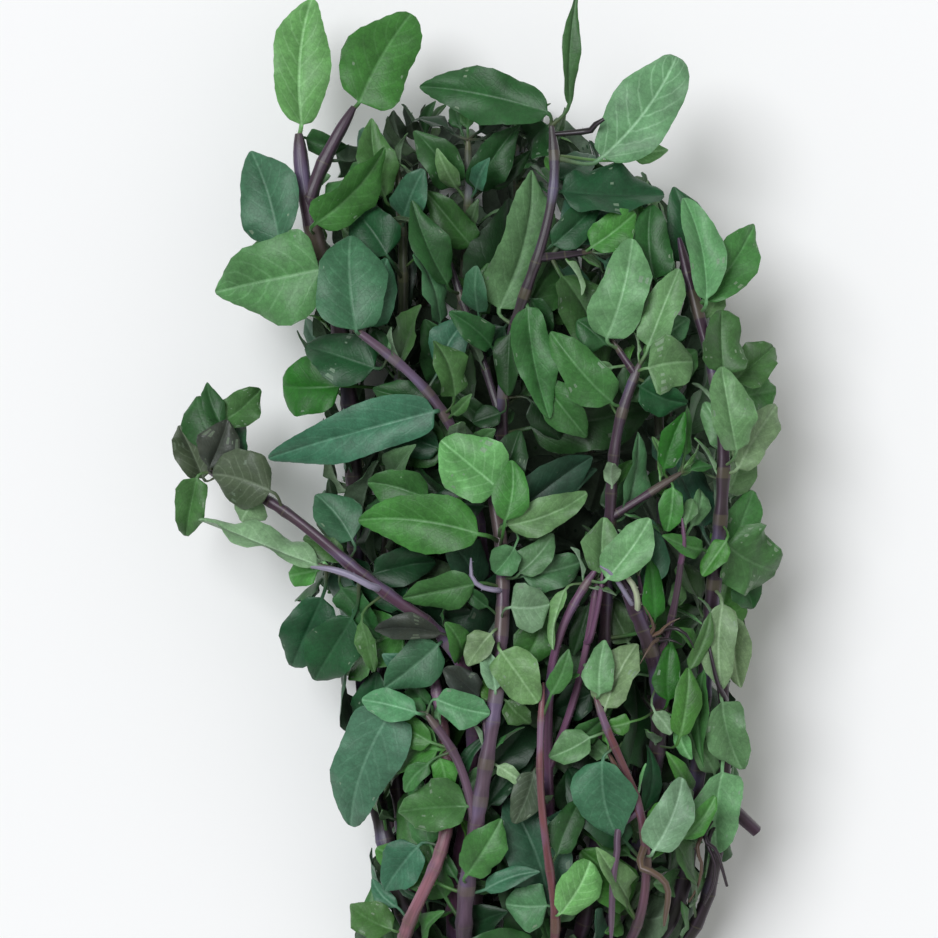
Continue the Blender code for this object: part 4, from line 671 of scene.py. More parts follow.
class Leaf:
    """A leaf: a petiole from the stem's heart to the blade's base, and an arched, folded blade."""

    def __init__(self, stem, root, stem_half, base, tip, up, width, droop, look, phase):
        self.stem = stem
        self.root = root
        self.stem_half = stem_half
        self.heart = root - (base - root).normalized() * stem_half * HEART_DEPTH
        self.base = base
        self.chord = (tip - base).length
        self.ahead = (tip - base) / self.chord
        self.up = (up - self.ahead * up.dot(self.ahead)).normalized()
        self.side = self.ahead.cross(self.up)
        self.half = width / 2
        self.droop = math.radians(max(droop, 1.0))
        self.look = look
        self.phase = phase
        peak, fullness, fold, wave, self.point = SHAPES[look]
        self.peak = peak * (1.0 + VARIETY * 0.5 * math.sin(phase * 8.0))
        self.fullness = fullness * (1.0 + VARIETY * math.sin(phase * 9.0 + 1.0))
        self.fold = math.radians(fold * (1.0 + 3.0 * VARIETY * math.sin(phase * 2.0 + 4.0)))
        self.wave = wave * width
        self.pace = 10.0 + 3.0 * math.sin(phase * 6.0)
        self.bow = BOW * self.chord * math.sin(phase * 3.0)
        self.twist = TWIST * math.sin(phase * 5.0 + 1.0)
        self.skew = SKEW * math.sin(phase * 7.0 + 2.0)
        self.nod = NOD * self.chord * (0.2 + 0.8 * math.sin(phase * 4.0) ** 2)
        self.tip = tip - self.up * self.nod

    def stations(self):
        if self.chord >= LARGE_LEAF:
            return LARGE_STATIONS
        return MIDDLE_STATIONS if self.chord >= SMALL_LEAF else SMALL_STATIONS

    def rib(self, share):
        """Middle of the blade and the ways across it and out of its face, at a share of it."""
        turn = self.droop * (share - 0.5)
        radius = self.chord / (2 * math.sin(self.droop / 2))
        along = radius * (math.sin(turn) + math.sin(self.droop / 2))
        above = radius * (math.cos(turn) - math.cos(self.droop / 2))
        middle = (self.base + self.ahead * along + self.up * (above - self.nod * share ** 3)
                  + self.side * self.bow * 4.0 * share * (1.0 - share))
        face = self.ahead * math.sin(turn) + self.up * math.cos(turn)
        lean = self.twist * (share - 0.35)
        return (middle, self.side * math.cos(lean) + face * math.sin(lean),
                face * math.cos(lean) - self.side * math.sin(lean))

    def half_width(self, share, sign):
        swell = math.sin(math.pi * share ** self.peak) ** self.fullness
        near_tip = max(0.0, (share - 0.5) / 0.5)
        uneven = 1.0 + UNEVEN * math.sin(share * 8.0 + 2.0 * self.phase + 1.3 * sign)
        return max(PETIOLE_HALF_WIDTH,
                   self.half * swell * (1.0 - self.point * near_tip ** 2) * uneven)

    def edge(self, share, sign):
        """The edge on one side: out by the half width, up by its fold and by its wave."""
        middle, side, face = self.rib(share)
        wide = self.half_width(share, sign)
        fold = self.fold + sign * self.skew
        ripple = math.sin(share * self.pace + self.phase + 1.7 * sign)
        lift = wide * math.sin(fold) + self.wave * ripple * min(1.0, wide / self.half)
        return middle + side * sign * wide * math.cos(fold) + face * lift

    def rings(self, stations, grow=0.0):
        """Left edge, top, right edge and underside of the blade at shares of its length."""
        found = []
        for share in stations:
            middle, side, face = self.rib(share)
            half_depth = PETIOLE_HALF_DEPTH if share == 0.0 else RIB_THICKNESS / 2
            lift, out = face * (half_depth + grow), side * grow
            found.append((self.edge(share, -1) - out, middle + lift,
                          self.edge(share, 1) + out, middle - lift))
        return found

    def mesh(self):
        """Corners and faces of the whole leaf, its blade cut alike on both faces."""
        return skin(self.rings(self.stations()), self.heart, self.tip)

    def space(self):
        """The room that a leaf needs to itself, from where it leaves its own stem."""
        stalk = (self.base - self.heart).normalized()
        start = self.root + stalk * (self.stem_half + 0.3)
        rings = self.rings(self.stations(), LEAF_GAP)
        return skin(rings, start, self.tip + self.ahead * LEAF_GAP)

    def blade_space(self):
        """The same room without the petiole, which may leave its own stem at a slant."""
        rings = self.rings(self.stations()[1:], LEAF_GAP)
        return skin(rings, None, self.tip + self.ahead * LEAF_GAP)


def skin(rings, start, end):
    """A closed skin over rings of left edge, top, right edge and underside, drawn to a point at
    its end, and at its start where one is given."""
    corners = [corner for ring in rings for corner in ring] + [end]
    tip = len(corners) - 1
    faces = []
    for r in range(len(rings) - 1):
        left, top, right, under = (r * 4 + k for k in range(4))
        faces += [(left, top + 4, left + 4), (left, top, top + 4),
                  (right, top + 4, top), (right, right + 4, top + 4),
                  (left, left + 4, under + 4), (left, under + 4, under),
                  (right, under, under + 4), (right, under + 4, right + 4)]
    left, top, right, under = ((len(rings) - 1) * 4 + k for k in range(4))
    faces += [(left, top, tip), (top, right, tip), (right, under, tip), (under, left, tip)]
    if start is None:
        return corners, faces + [(0, 2, 1), (0, 3, 2)]
    corners.append(start)
    return corners, faces + [(1, 0, tip + 1), (2, 1, tip + 1), (3, 2, tip + 1), (0, 3, tip + 1)]


def box_of(corners):
    """The lowest and the highest x, y and z of a mesh."""
    return ([min(corner[k] for corner in corners) for k in range(3)],
            [max(corner[k] for corner in corners) for k in range(3)])


class Room:
    """What is already placed, so that a new leaf can be kept clear of it."""

    def __init__(self):
        self.taken = []

    def add(self, mesh, stem_name=None):
        self.taken.append((*box_of(mesh[0]), BVHTree.FromPolygons(*mesh), stem_name))

    def is_free(self, leaf):
        mesh = leaf.space()
        low, high = box_of(mesh[0])
        if low[2] < TABLE_GAP:
            return False
        tree = None
        for other_low, other_high, other, stem_name in self.taken:
            if any(low[k] > other_high[k] or high[k] < other_low[k] for k in range(3)):
                continue
            if stem_name == leaf.stem.name:
                if BVHTree.FromPolygons(*leaf.blade_space()).overlap(other):
                    return False
                continue
            tree = tree or BVHTree.FromPolygons(*mesh)
            if tree.overlap(other):
                return False
        return True


class Roots:
    """The places on the leafy stems that a leaf can grow from."""

    def __init__(self, stems):
        self.places = []
        for stem in stems:
            for i in range(stem.leafy_from, len(stem.course) - 1):
                start, step = stem.course[i], stem.course[i + 1] - stem.course[i]
                self.places += [(stem, start + step * (k / 4), stem.halves[i]) for k in range(4)]
        self.tree = point_tree([point for _, point, _ in self.places])

    def nearest(self, name, base, tip):
        """The stem and the point in its heart for a leaf with this base, of its own stem where
        no other is much closer."""
        ahead = (tip - base).normalized()
        best = None
        for _, number, distance in self.tree.find_n(base, ROOTS_COMPARED):
            stem, point, half = self.places[number]
            forward = (base - point).normalized().dot(ahead)
            cost = distance + SLANT_COST * max(0.0, WELL_FORWARD - forward)
            if stem.name != name:
                cost += OTHER_STEM
            if best is None or cost < best[0]:
                best = (cost, stem, point, half)
        return best[1:]


def seen_leaf(roots, leaf_row, lift, extra_roll, phase):
    """One leaf of the photograph, at its own height or lifted, its base just off its stem."""
    name, base, tip, width, roll, droop, *looks = leaf_row
    start = spot(base[0], base[1], base[2] + lift)
    end = spot(tip[0], tip[1], tip[2] + lift)
    stem, root, half = roots.nearest(name, start, end)
    ahead = (end - start).normalized()
    while ((start - root).length < half + SHORTEST_STALK
           or (start - root).normalized().dot(ahead) < LEAST_FORWARD):
        start = start + ahead * STEP_OFF
    turn = math.radians(roll + extra_roll)
    upright = Vector((0.0, 0.0, 1.0))
    flat = (upright - ahead * upright.dot(ahead)).normalized()
    up = flat * math.cos(turn) + ahead.cross(flat) * math.sin(turn)
    leaf = Leaf(stem, root, half, start, end, up, width * MM_PER_PX, droop, looks[0], phase)
    leaf.look = looks[-1]
    return leaf


def seen_leaves(stems, room):
    """The leaves of the photograph, each moved up or down to the first height that is free."""
    rng = random.Random(SEED + 1)
    roots = Roots(stems)
    leaves = []
    for row in LEAVES:
        phase = rng.uniform(0.0, math.tau)
        options = (seen_leaf(roots, row, lift, roll, phase) for lift in LIFTS for roll in ROLLS)
        leaf = next((option for option in options if room.is_free(option)), None)
        if leaf is not None:
            leaves.append(leaf)
            room.add(leaf.mesh())
    return leaves


class SeenLeaves:
    """The leaves that the photograph shows, which other growth must not hide from above."""

    def __init__(self, leaves):
        self.tree = surface_tree(leaf.mesh() for leaf in leaves)

    def hidden_by(self, leaf):
        eye = Vector((0.0, 0.0, EYE_HEIGHT))
        points = [leaf.rib(share)[0] for share in (0.1, 0.35, 0.6, 0.85, 1.0)]
        points += [leaf.edge(share, sign) for share in (0.3, 0.6, 0.85) for sign in (-1, 1)]
        return any(self.tree.ray_cast(point, (point - eye).normalized())[0] for point in points)


class Cover:
    """Counts how well each patch of the bunch's surface is covered by leaves."""

    ROWS = 7.5            # mm of the bunch's length in one patch
    SECTORS = 24          # patches round the bunch
    OUTERMOST = 1.02      # a leaf may reach this far out
    INNERMOST = 0.35      # from here outwards a leaf helps to cover
    COUNTED = 0.6         # from here outwards it is counted as cover

    def __init__(self, leaves):
        self.counts = {}
        for leaf in leaves:
            self.add(leaf)

    def patch(self, point):
        found = outline_at(point.y)
        if found is None:
            return None
        left, right, height = found
        angle = math.atan2((point.z - MIDDLE_OF_HEIGHT * height) * 1.6, point.x - (left + right) / 2)
        return math.floor(point.y / self.ROWS), math.floor(angle / math.tau * self.SECTORS)

    def points(self, leaf):
        for share in (0.15, 0.4, 0.65, 0.88):
            middle, _, _ = leaf.rib(share)
            yield middle
            yield middle.lerp(leaf.edge(share, -1), 0.7)
            yield middle.lerp(leaf.edge(share, 1), 0.7)

    def gain(self, leaf):
        """What the leaf would add, or None where it leaves the bunch."""
        total = 0.0
        for point in self.points(leaf):
            reach, outward = reach_at(point)
            if reach > self.OUTERMOST:
                return None
            facing = 0.35 + 0.65 * abs(leaf.up.dot(outward))
            depth = max(0.0, (reach - self.INNERMOST) / (1 - self.INNERMOST))
            total += facing * depth / (1.0 + self.counts.get(self.patch(point), 0.0)) ** 1.5
        return total * leaf.chord * leaf.half / 120.0

    def add(self, leaf):
        for point in self.points(leaf):
            reach, _ = reach_at(point)
            if reach > self.COUNTED:
                key = self.patch(point)
                self.counts[key] = self.counts.get(key, 0.0) + leaf.chord * leaf.half / 350.0


def leaf_places(stems, rng):
    """Where leaves can grow: opposite pairs at the nodes, each pair square to the last."""
    places = []
    for stem in stems:
        frames = stem.frames()
        last = len(stem.course) - 1
        turn = rng.uniform(0.0, 0.6)
        i = stem.leafy_from
        pair = 0
        while i <= last:
            along, side, up = frames[i]
            for half_turn in (0.0, math.pi):
                angle = turn + pair * math.pi / 2 + half_turn
                outward = side * math.cos(angle) + up * math.sin(angle)
                places.append((stem, i, along, outward))
            pair += 1
            i += 3
    rng.shuffle(places)
    return places


def grown_leaf(rng, stem, i, along, outward):
    """One way in which a leaf could grow from a place on a stem."""
    root, half, share = stem.course[i], stem.halves[i], i / (len(stem.course) - 1)
    swing = math.radians(rng.uniform(-50, 50))
    outward = outward * math.cos(swing) + along.cross(outward) * math.sin(swing)
    rise = math.radians(rng.uniform(2, 62) if share < 0.93 else rng.uniform(35, 85))
    ahead = outward * math.cos(rise) + along * math.sin(rise)
    length = rng.uniform(24, 42) * (1.0 if share < 0.85 else 0.62)
    stalk = rng.uniform(3.5, 9.0)
    base = root + ahead * (half + stalk)
    bow = rng.uniform(-22, 22)
    tip = base + (ahead * math.cos(math.radians(bow))
                  + along.cross(ahead) * math.sin(math.radians(bow))).normalized() * length
    _, surface = reach_at((base + tip) / 2)
    lean = Vector((rng.uniform(-0.55, 0.55), rng.uniform(-0.1, 0.7), rng.uniform(-0.3, 0.6)))
    up = surface + lean
    width = length * rng.uniform(0.5, 0.66)
    look = rng.choice(FILL_LOOKS)
    droop, phase = rng.uniform(8, 34), rng.uniform(0.0, math.tau)
    return Leaf(stem, root, half, base, tip, up, width, droop, look, phase)


def best_leaf(options, least, most_tested, room, seen, cover):
    """Places the leaf that covers the barest patches among those that are free, if one is."""
    useful = []
    for leaf in options:
        gain = cover.gain(leaf)
        if gain is not None and gain > least and not seen.hidden_by(leaf):
            useful.append((gain, len(useful), leaf))
    for _, _, leaf in sorted(useful, reverse=True)[:most_tested]:
        if room.is_free(leaf):
            room.add(leaf.mesh())
            cover.add(leaf)
            return leaf
    return None


def filling_leaves(stems, room, seen, cover):
    """Leaves that cover the rest of the bunch, the barest patches first."""
    rng = random.Random(SEED + 9)
    places = leaf_places(stems, rng)
    leaves, used = [], set()
    for least in FILL_LEAST:
        for number, place in enumerate(places):
            if len(leaves) >= FILL_LEAVES:
                return leaves
            if number in used:
                continue
            options = (grown_leaf(rng, *place) for _ in range(TRIES))
            leaf = best_leaf(options, least, FILL_TESTED, room, seen, cover)
            if leaf is not None:
                leaves.append(leaf)
                used.add(number)
    return leaves


# Fine leaves
TOOTH_LENGTH = 3.6        # mm of the edge in one tooth
TOOTH_COUNTS = (4, 15)    # fewest and most teeth on one edge
TOOTH_RISE = 0.7          # share of a tooth that widens before it drops back
END_CROWDING = 0.75       # how much closer teeth stand at a blade's two ends, which are round
WIDE_COLUMNS = (0.0, 0.07, 0.22, 0.46, 0.72, 0.93, 1.0)
NARROW_COLUMNS = (0.0, 0.14, 0.45, 0.85, 1.0)
NARROW_HALF = 4.5         # mm, leaves with a smaller half width have the narrow columns
VEIN_PAIRS = 6.5          # side veins on each half of a leaf
VEIN_SLANT = (0.20, 0.16)  # how far they run towards the tip, steady and growing
PETIOLE_RINGS = 5
PETIOLE_BEND = 0.4        # how stiffly it leaves its stem and meets its blade
PETIOLE_SHARE = 0.3       # how the petiole counts in a leaf's length where patterns are drawn
PATTERN_SHIFT = 17.0      # mm between the places in the patterns of two leaves
SHEET = 0.16              # mm, half the blade's thickness away from its veins
FINE_WAVE = 1.3           # how much deeper the fine leaves' edges wave than the solids'
CUSHION = 0.28            # how far each half of a blade swells up beside its midrib
QUILTING = (0.02, 0.03)   # how far it swells between side veins, fresh, and what wilting adds
BUCKLING = (0.02, 0.05)   # how far it buckles, fresh, and what wilting adds

# Small growth that the solids leave out
YOUNG_LENGTHS = (7.0, 15.0)     # mm, leaves round a stem's tip
AXIL_LENGTHS = (6.0, 13.0)      # mm, pairs between a leaf and its stem
AXIL_SHARE = 0.35               # share of the joints that bear them
CLOSING_LENGTHS = (31.0, 25.0, 19.0, 14.0, 10.0)
CLOSING_STEP = 5.0        # mm between the lines of sight that small leaves close
CLOSING_TOP_Y = 130.0     # mm, the first row of them
CLOSING_SPAN = 340        # mm of the bunch's length that they take up
CLOSING_COLUMNS = 18      # lines on either side of the middle one
CLOSING_DISTANCE = 300.0  # mm from the bunch's axis to where they start
CLOSING_SEARCH = range(60, -60, -2)     # mm from the axis, where a place to close is looked for
CLOSING_LOWEST = 4.0      # mm above the table
# Degrees round the bunch's length, and from square to it towards its tips
CLOSING_ANGLES = ((0, 0), (50, 0), (-50, 0), (90, 0), (-90, 0), (130, 0), (-130, 0), (180, 0),
                  (-69, 43), (69, 43), (-50, 65), (50, 65))
CLOSING_DEPTH = (0.45, 0.82)    # how far out from the axis they may lie
LONGEST_STALK = 11.0      # mm between their stem and their blade
CLOSING_ROOTS = 9         # places on stems that are tried for each size
CLOSING_REACH = (3.0, 38.0)     # mm, how far from the place to close those may be
YOUNG_LOOKS = ("fresh", "light", "mid", "bright", "yellow")
# the shade look is painted shade: near black-green leaves that fill the gaps one could see through
CLOSING_LOOKS = ("shade", "deep", "shade", "deepblue", "shade")
THICKET_LEAVES = 400      # more leaves over the whole surface
THICKET_WIDTHS = (0.55, 1.0)    # against their usual width
THICKET_DROOPS = (1.0, 2.0)     # against their usual droop
THICKET_TRIES = 7
THICKET_TESTED = 3
THICKET_SIZES = (0.45, 0.85)    # against the leaves that the solids have
THICKET_LEAST = (0.9, 0.5, 0.25, 0.12)
THICKET_LOOKS = ("mid", "deep", "fresh", "olive", "deepblue", "mid", "light", "blue", "deep")

# Fine stalks
STALK_SIDES = 14
STALK_STEP = 3.0          # mm between its rings
STALK_SQUARENESS = 4.2    # 2 is round, more is squarer
NODE_SWELL = 0.20         # how much thicker a stalk is where leaves grow from it
NODE_REACH = 2.6          # mm along the stalk
SCAR_SPACING = 34.0       # mm between the old leaf joints on the bare stalks
SCAR_DRIFT = 6            # mm, how far one may be off its place
FIRST_SCAR = 20.0         # mm from the cut end
HAIRS_PER_RING = 2
HAIR_LENGTHS = (0.4, 0.9)  # mm
HAIR_HALF = 0.05          # mm, half their thickness at the root
HAIR_DEPTH = 0.1          # mm by which they are sunk in the skin
TIP_TAPER = (0.92, 0.72, 0.42)
CUT_SHOOT = "stem_low_right"    # the only stem whose side shoot was cut off

# Each look of leaf: its upper side, how far it has wilted, its teeth as a share of its width,
# and how pale its veins are
BLADES = {
    "bright": ("6AA75F", 0.00, 0.012, 0.42), "fresh": ("3D772E", 0.00, 0.014, 0.34),
    "light": ("638F5B", 0.05, 0.012, 0.30), "yellow": ("4E8A34", 0.05, 0.008, 0.25),
    "veined": ("699D6F", 0.00, 0.006, 0.55), "vivid": ("1B5C0E", 0.00, 0.006, 0.15),
    "mid": ("397036", 0.05, 0.014, 0.28), "deep": ("225424", 0.05, 0.014, 0.22),
    "blue": ("38694B", 0.00, 0.008, 0.36), "deepblue": ("164C28", 0.05, 0.012, 0.26),
    "grey": ("57925F", 0.25, 0.010, 0.30), "pale": ("789B71", 0.15, 0.012, 0.34),
    "olive": ("406F37", 0.20, 0.014, 0.28), "dusk": ("495E47", 0.45, 0.010, 0.60),
    # shade is painted shade, a near black-green for the closing leaves in the gaps
    "wilt": ("37453F", 0.75, 0.010, 0.20), "shade": ("19391F", 0.05, 0.010, 0.08),
    "broad": ("54884D", 0.00, 0.012, 0.42), "hanging": ("406F57", 0.00, 0.008, 0.36),
}
SHAPES["shade"] = SHAPES["deep"]
INNER_PAINTED_SHADE = 0.66     # painted shade: how much darker the leaves are painted deep inside the bunch
UPPER_VARIETY = 0.18      # how far the upper sides of one look differ in lightness
UNDER_VARIETY = 0.10
STALK_VARIETY = 0.06
NODE_DARKNESS = 0.25      # how much darker a stalk is at its joints
UNDERSIDE = "7E9A7A"
# Stalk colours, and which of them each stalk has near its cut end and near its tip
STALK_COLOURS = {
    "dark": "22171E", "purple": "382331", "pink": "64405A", "mauve": "5E4858",
    "red": "6E4044", "green": "4A5638", "rose": "8A5C66", "lilac": "8F889C",
    "black": "15110F", "cream": "A9B392", "tan": "5C4A3A",
}
STALKS = {
    "stem_top_left": ("dark", "purple"), "stem_upper_left": ("purple", "mauve"),
    "stem_crown": ("purple", "dark"), "stem_middle_right": ("purple", "purple"),
    "stem_right": ("dark", "purple"), "stem_left_shoot": ("pink", "purple"),
    "stem_main": ("mauve", "mauve"), "stem_slender": ("red", "red"),
    "stem_pink": ("pink", "pink"), "stem_curved": ("mauve", "red"),
    "stem_dark": ("dark", "purple"), "stem_low_right": ("dark", "purple"),
    "stem_low_left": ("rose", "rose"),
}
PLAIN_STALK = ("purple", "green")
# Petioles that lost their leaf, dry fibres, a bud and dangling ends: stem, colour, half thickness
# at the start and the end in mm, and their course (px, px, mm above the table)
STRANDS = (
    ("stem_crown", "black", 0.6, 1.2,
     ((588, 131, 59), (594, 126, 61), (599, 121, 62), (604, 119, 62))),
    ("stem_left_shoot", "lilac", 1.1, 0.8,
     ((371, 586, 61), (350, 575, 61), (330, 569, 59), (311, 567, 57))),
    ("stem_dark", "cream", 1.0, 0.7,
     ((638, 608, 62), (636, 592, 65), (628, 578, 67), (612, 567, 67))),
    ("stem_dark", "lilac", 0.8, 0.6,
     ((632, 604, 62), (622, 588, 66), (612, 574, 68), (600, 566, 67))),
    ("stem_dark", "tan", 0.9, 0.2, ((658, 634, 60), (668, 624, 64), (680, 618, 65))),
    ("stem_dark", "tan", 0.8, 0.2, ((654, 630, 61), (650, 616, 65), (644, 606, 66))),
    ("stem_dark", "black", 0.9, 0.2, ((660, 640, 60), (672, 640, 64), (684, 646, 63))),
    ("stem_dark", "tan", 0.7, 0.2, ((656, 640, 61), (648, 650, 65), (640, 664, 65))),
    ("stem_dark", "black", 0.9, 0.3,
     ((662, 630, 60), (674, 628, 65), (686, 634, 66), (694, 648, 64))),
    ("stem_low_right", "dark", 0.9, 0.4,
     ((704, 836, 50), (716, 850, 50), (722, 868, 47), (727, 886, 44))),
    ("stem_low_right", "dark", 0.8, 0.4,
     ((708, 842, 48), (715, 862, 48), (713, 884, 45), (704, 904, 42))),
    ("stem_low_right", "tan", 0.8, 0.3,
     ((698, 844, 49), (702, 866, 47), (697, 888, 44), (689, 902, 42))),
    ("stem_curved", "mauve", 1.0, 0.9,
     ((619, 828, 57), (617, 852, 57), (613, 880, 56), (611, 940, 50))),
    ("stem_curved", "tan", 1.1, 0.8,
     ((640, 866, 60), (656, 874, 61), (668, 890, 60), (664, 926, 56))),
    ("stem_main", "lilac", 0.8, 0.6,
     ((497, 590, 60), (484, 588, 61), (472, 578, 62), (471, 558, 61))),
    ("stem_pink", "pink", 0.9, 0.6,
     ((590, 640, 62), (596, 616, 65), (601, 590, 66), (603, 566, 66))),
    ("stem_dark", "pink", 0.9, 0.6, ((682, 560, 63), (684, 540, 65), (682, 518, 65))),
    ("stem_low_right", "dark", 0.9, 0.4,
     ((726, 700, 52), (718, 684, 57), (712, 660, 59), (708, 640, 58))),
)

UPPER, UNDER, BARK, PITH = range(4)     # material slots of a piece
SHARP_FROM = math.radians(75)   # faces that meet at more than this keep a sharp edge
PRESSED_BELOW = 0.3       # mm above the table, what reaches lower is pressed together
PRESSED_TO = 0.05         # mm, and never gets lower than this


def linear(hex_colour):
    """An sRGB hex colour as linear red, green, blue and alpha."""
    channels = [int(hex_colour[i:i + 2], 16) / 255 for i in (0, 2, 4)]
    return tuple(c / 12.92 if c <= 0.04045 else ((c + 0.055) / 1.055) ** 2.4
                 for c in channels) + (1.0,)


def smooth(values, low, high):
    """From 0 to 1 as values go from low to high, without a corner at either end."""
    share = np.clip((np.asarray(values, float) - low) / (high - low), 0.0, 1.0)
    return share * share * (3.0 - 2.0 * share)


def closed_tube(rings, start, end):
    """Corners and faces over rings of points, closed round one point at each end."""
    count, sides = rings.shape[:2]
    index = np.arange(count * sides).reshape(count, sides)
    ahead = np.roll(index, -1, axis=1)
    quads = np.stack((index[:-1], ahead[:-1], ahead[1:], index[1:]), axis=-1).reshape(-1, 4)
    first, last = count * sides, count * sides + 1
    fans = np.concatenate((
        np.stack((np.full(sides, first), ahead[0], index[0]), axis=-1),
        np.stack((np.full(sides, last), index[-1], ahead[-1]), axis=-1)))
    corners = np.concatenate((rings.reshape(-1, 3), [start, end]))
    return corners, quads, fans


class Growth:
    """Gathers the parts of one piece: corners, faces, material slots and what shaders read."""

    def __init__(self):
        self.parts = []
        self.count = 0

    def add(self, corners, quads, fans, *rows):
        """Rows are the slots of quads and fans, then what each corner has for the shaders."""
        self.parts.append((corners, quads + self.count, fans + self.count, *rows))
        self.count += len(corners)

    def piece(self, name, materials):
        """The object in the bunch's own frame."""
        corners, quads, fans, quad_slots, fan_slots, veins, places, tints, veining = (
            np.concatenate(rows) for rows in zip(*self.parts))
        low = corners[:, 2] < PRESSED_BELOW
        pressing = PRESSED_BELOW - PRESSED_TO
        corners[low, 2] = PRESSED_TO + pressing * np.exp((corners[low, 2] - PRESSED_BELOW) / pressing)
        mesh = bpy.data.meshes.new(name)
        loops = np.concatenate((quads.ravel(), fans.ravel()))
        sizes = np.concatenate((np.full(len(quads), 4), np.full(len(fans), 3)))
        slots = np.concatenate((quad_slots, fan_slots))
        mesh.vertices.add(len(corners))
        mesh.vertices.foreach_set("co", ((corners - np.array(BOX_MIDDLE)) * MM).ravel())
        mesh.loops.add(len(loops))
        mesh.loops.foreach_set("vertex_index", loops.astype(np.int32))
        mesh.polygons.add(len(sizes))
        mesh.polygons.foreach_set("loop_start", (np.cumsum(sizes) - sizes).astype(np.int32))
        mesh.polygons.foreach_set("material_index", slots.astype(np.int32))
        for label, kind, values, field in (("vein", "FLOAT_VECTOR", veins, "vector"),
                                           ("place", "FLOAT_VECTOR", places, "vector"),
                                           ("tint", "FLOAT_COLOR", tints, "color"),
                                           ("veining", "FLOAT", veining, "value")):
            layer = mesh.attributes.new(label, kind, "POINT")
            layer.data.foreach_set(field, np.ascontiguousarray(values, np.float32).ravel())
        mesh.update(calc_edges=True)
        mesh.shade_smooth()
        mesh.set_sharp_from_angle(angle=SHARP_FROM)
        for material in materials:
            mesh.materials.append(material)
        obj = bpy.data.objects.new(name, mesh)
        bpy.context.scene.collection.objects.link(obj)
        return obj


def corner_rows(grid, values, ends):
    """What each corner of a tube has for the shaders: over its grid, then at its two ends."""
    rows = np.stack([np.broadcast_to(value, grid) for value in values], axis=-1)
    return np.concatenate((rows.reshape(-1, len(values)), ends))


def varied(rng, colour, spread):
    """A linear colour a little lighter or darker, warmer or cooler than the one given."""
    light = rng.uniform(1.0 - spread, 1.0 + spread)
    warm = rng.uniform(-0.5, 0.5) * spread
    return np.array((colour[0] * light * (1 + warm), colour[1] * light,
                     colour[2] * light * (1 - warm)))


def petiole_half(leaf):
    return min(0.72, 0.34 + leaf.chord * 0.009)


def rib_rows(leaf, shares):
    """Middle of the blade, the ways across it and out of its face, and its heading, in rows."""
    turn = (leaf.droop * (shares - 0.5))[:, None]
    radius = leaf.chord / (2 * math.sin(leaf.droop / 2))
    ahead, up, side = (np.array(v) for v in (leaf.ahead, leaf.up, leaf.side))
    bend = (leaf.bow * 4.0 * shares * (1.0 - shares))[:, None]
    hang = (leaf.nod * shares ** 3)[:, None]
    middle = (np.array(leaf.base) + ahead * radius * (np.sin(turn) + math.sin(leaf.droop / 2))
              + up * (radius * (np.cos(turn) - math.cos(leaf.droop / 2)) - hang) + side * bend)
    face = ahead * np.sin(turn) + up * np.cos(turn)
    lean = (leaf.twist * (shares - 0.35))[:, None]
    return (middle, side * np.cos(lean) + face * np.sin(lean),
            face * np.cos(lean) - side * np.sin(lean), ahead * np.cos(turn) - up * np.sin(turn))


def petiole_rings(leaf, columns):
    """Rings of the petiole, from the stalk's heart to the blade's base."""
    start, end = np.array(leaf.heart), np.array(leaf.base)
    _, _, face, heading = (rows[0] for rows in rib_rows(leaf, np.zeros(1)))
    reach = np.linalg.norm(end - start)
    out = (end - start) / reach
    bend = reach * PETIOLE_BEND
    handles = start, start + out * bend, end - heading * bend, end
    arch = np.sqrt(1.0 - columns ** 2)[:, None] * 0.85
    rings = []
    for step in range(PETIOLE_RINGS):
        t = step / PETIOLE_RINGS
        weights = (1 - t) ** 3, 3 * t * (1 - t) ** 2, 3 * t * t * (1 - t), t ** 3
        middle = sum(weight * handle for weight, handle in zip(weights, handles))
        along = out * (1 - t) + heading * t
        side = np.cross(along, face)
        side = side / max(np.linalg.norm(side), 1e-6)
        rise = np.cross(side, along)
        half = petiole_half(leaf) * (1.0 + 0.35 * (1 - t) ** 3)
        top = middle + (columns[:, None] * side + arch * rise) * half
        under = middle + (columns[:, None] * side - arch * rise) * half
        rings.append(np.concatenate((top, under[-2:0:-1])))
    return np.array(rings)


def half_widths(leaf, shares, columns, tooth_depth):
    """Half width of the blade on each column's side of the midrib, teeth and all."""
    v, sign = shares[:, None], np.sign(columns)[None, :]
    near_tip = np.clip((v - 0.5) / 0.5, 0.0, 1.0)
    swell = np.sin(np.pi * v ** leaf.peak) ** leaf.fullness * (1 - leaf.point * near_tip ** 2)
    uneven = 1.0 + UNEVEN * np.sin(v * 8.0 + 2.0 * leaf.phase + 1.3 * sign)
    notched = np.where(np.arange(len(shares)) % 2 == 0, 1.0, 0.0)[:, None]
    depth = leaf.half * 2 * BLADES[leaf.look][2] * tooth_depth
    depth = depth * smooth(v, 0.04, 0.3) * (1 - smooth(v, 0.9, 1.0))
    wide = leaf.half * swell * uneven - depth * notched
    return np.where(v < 0.3, np.maximum(wide, petiole_half(leaf)), wide)


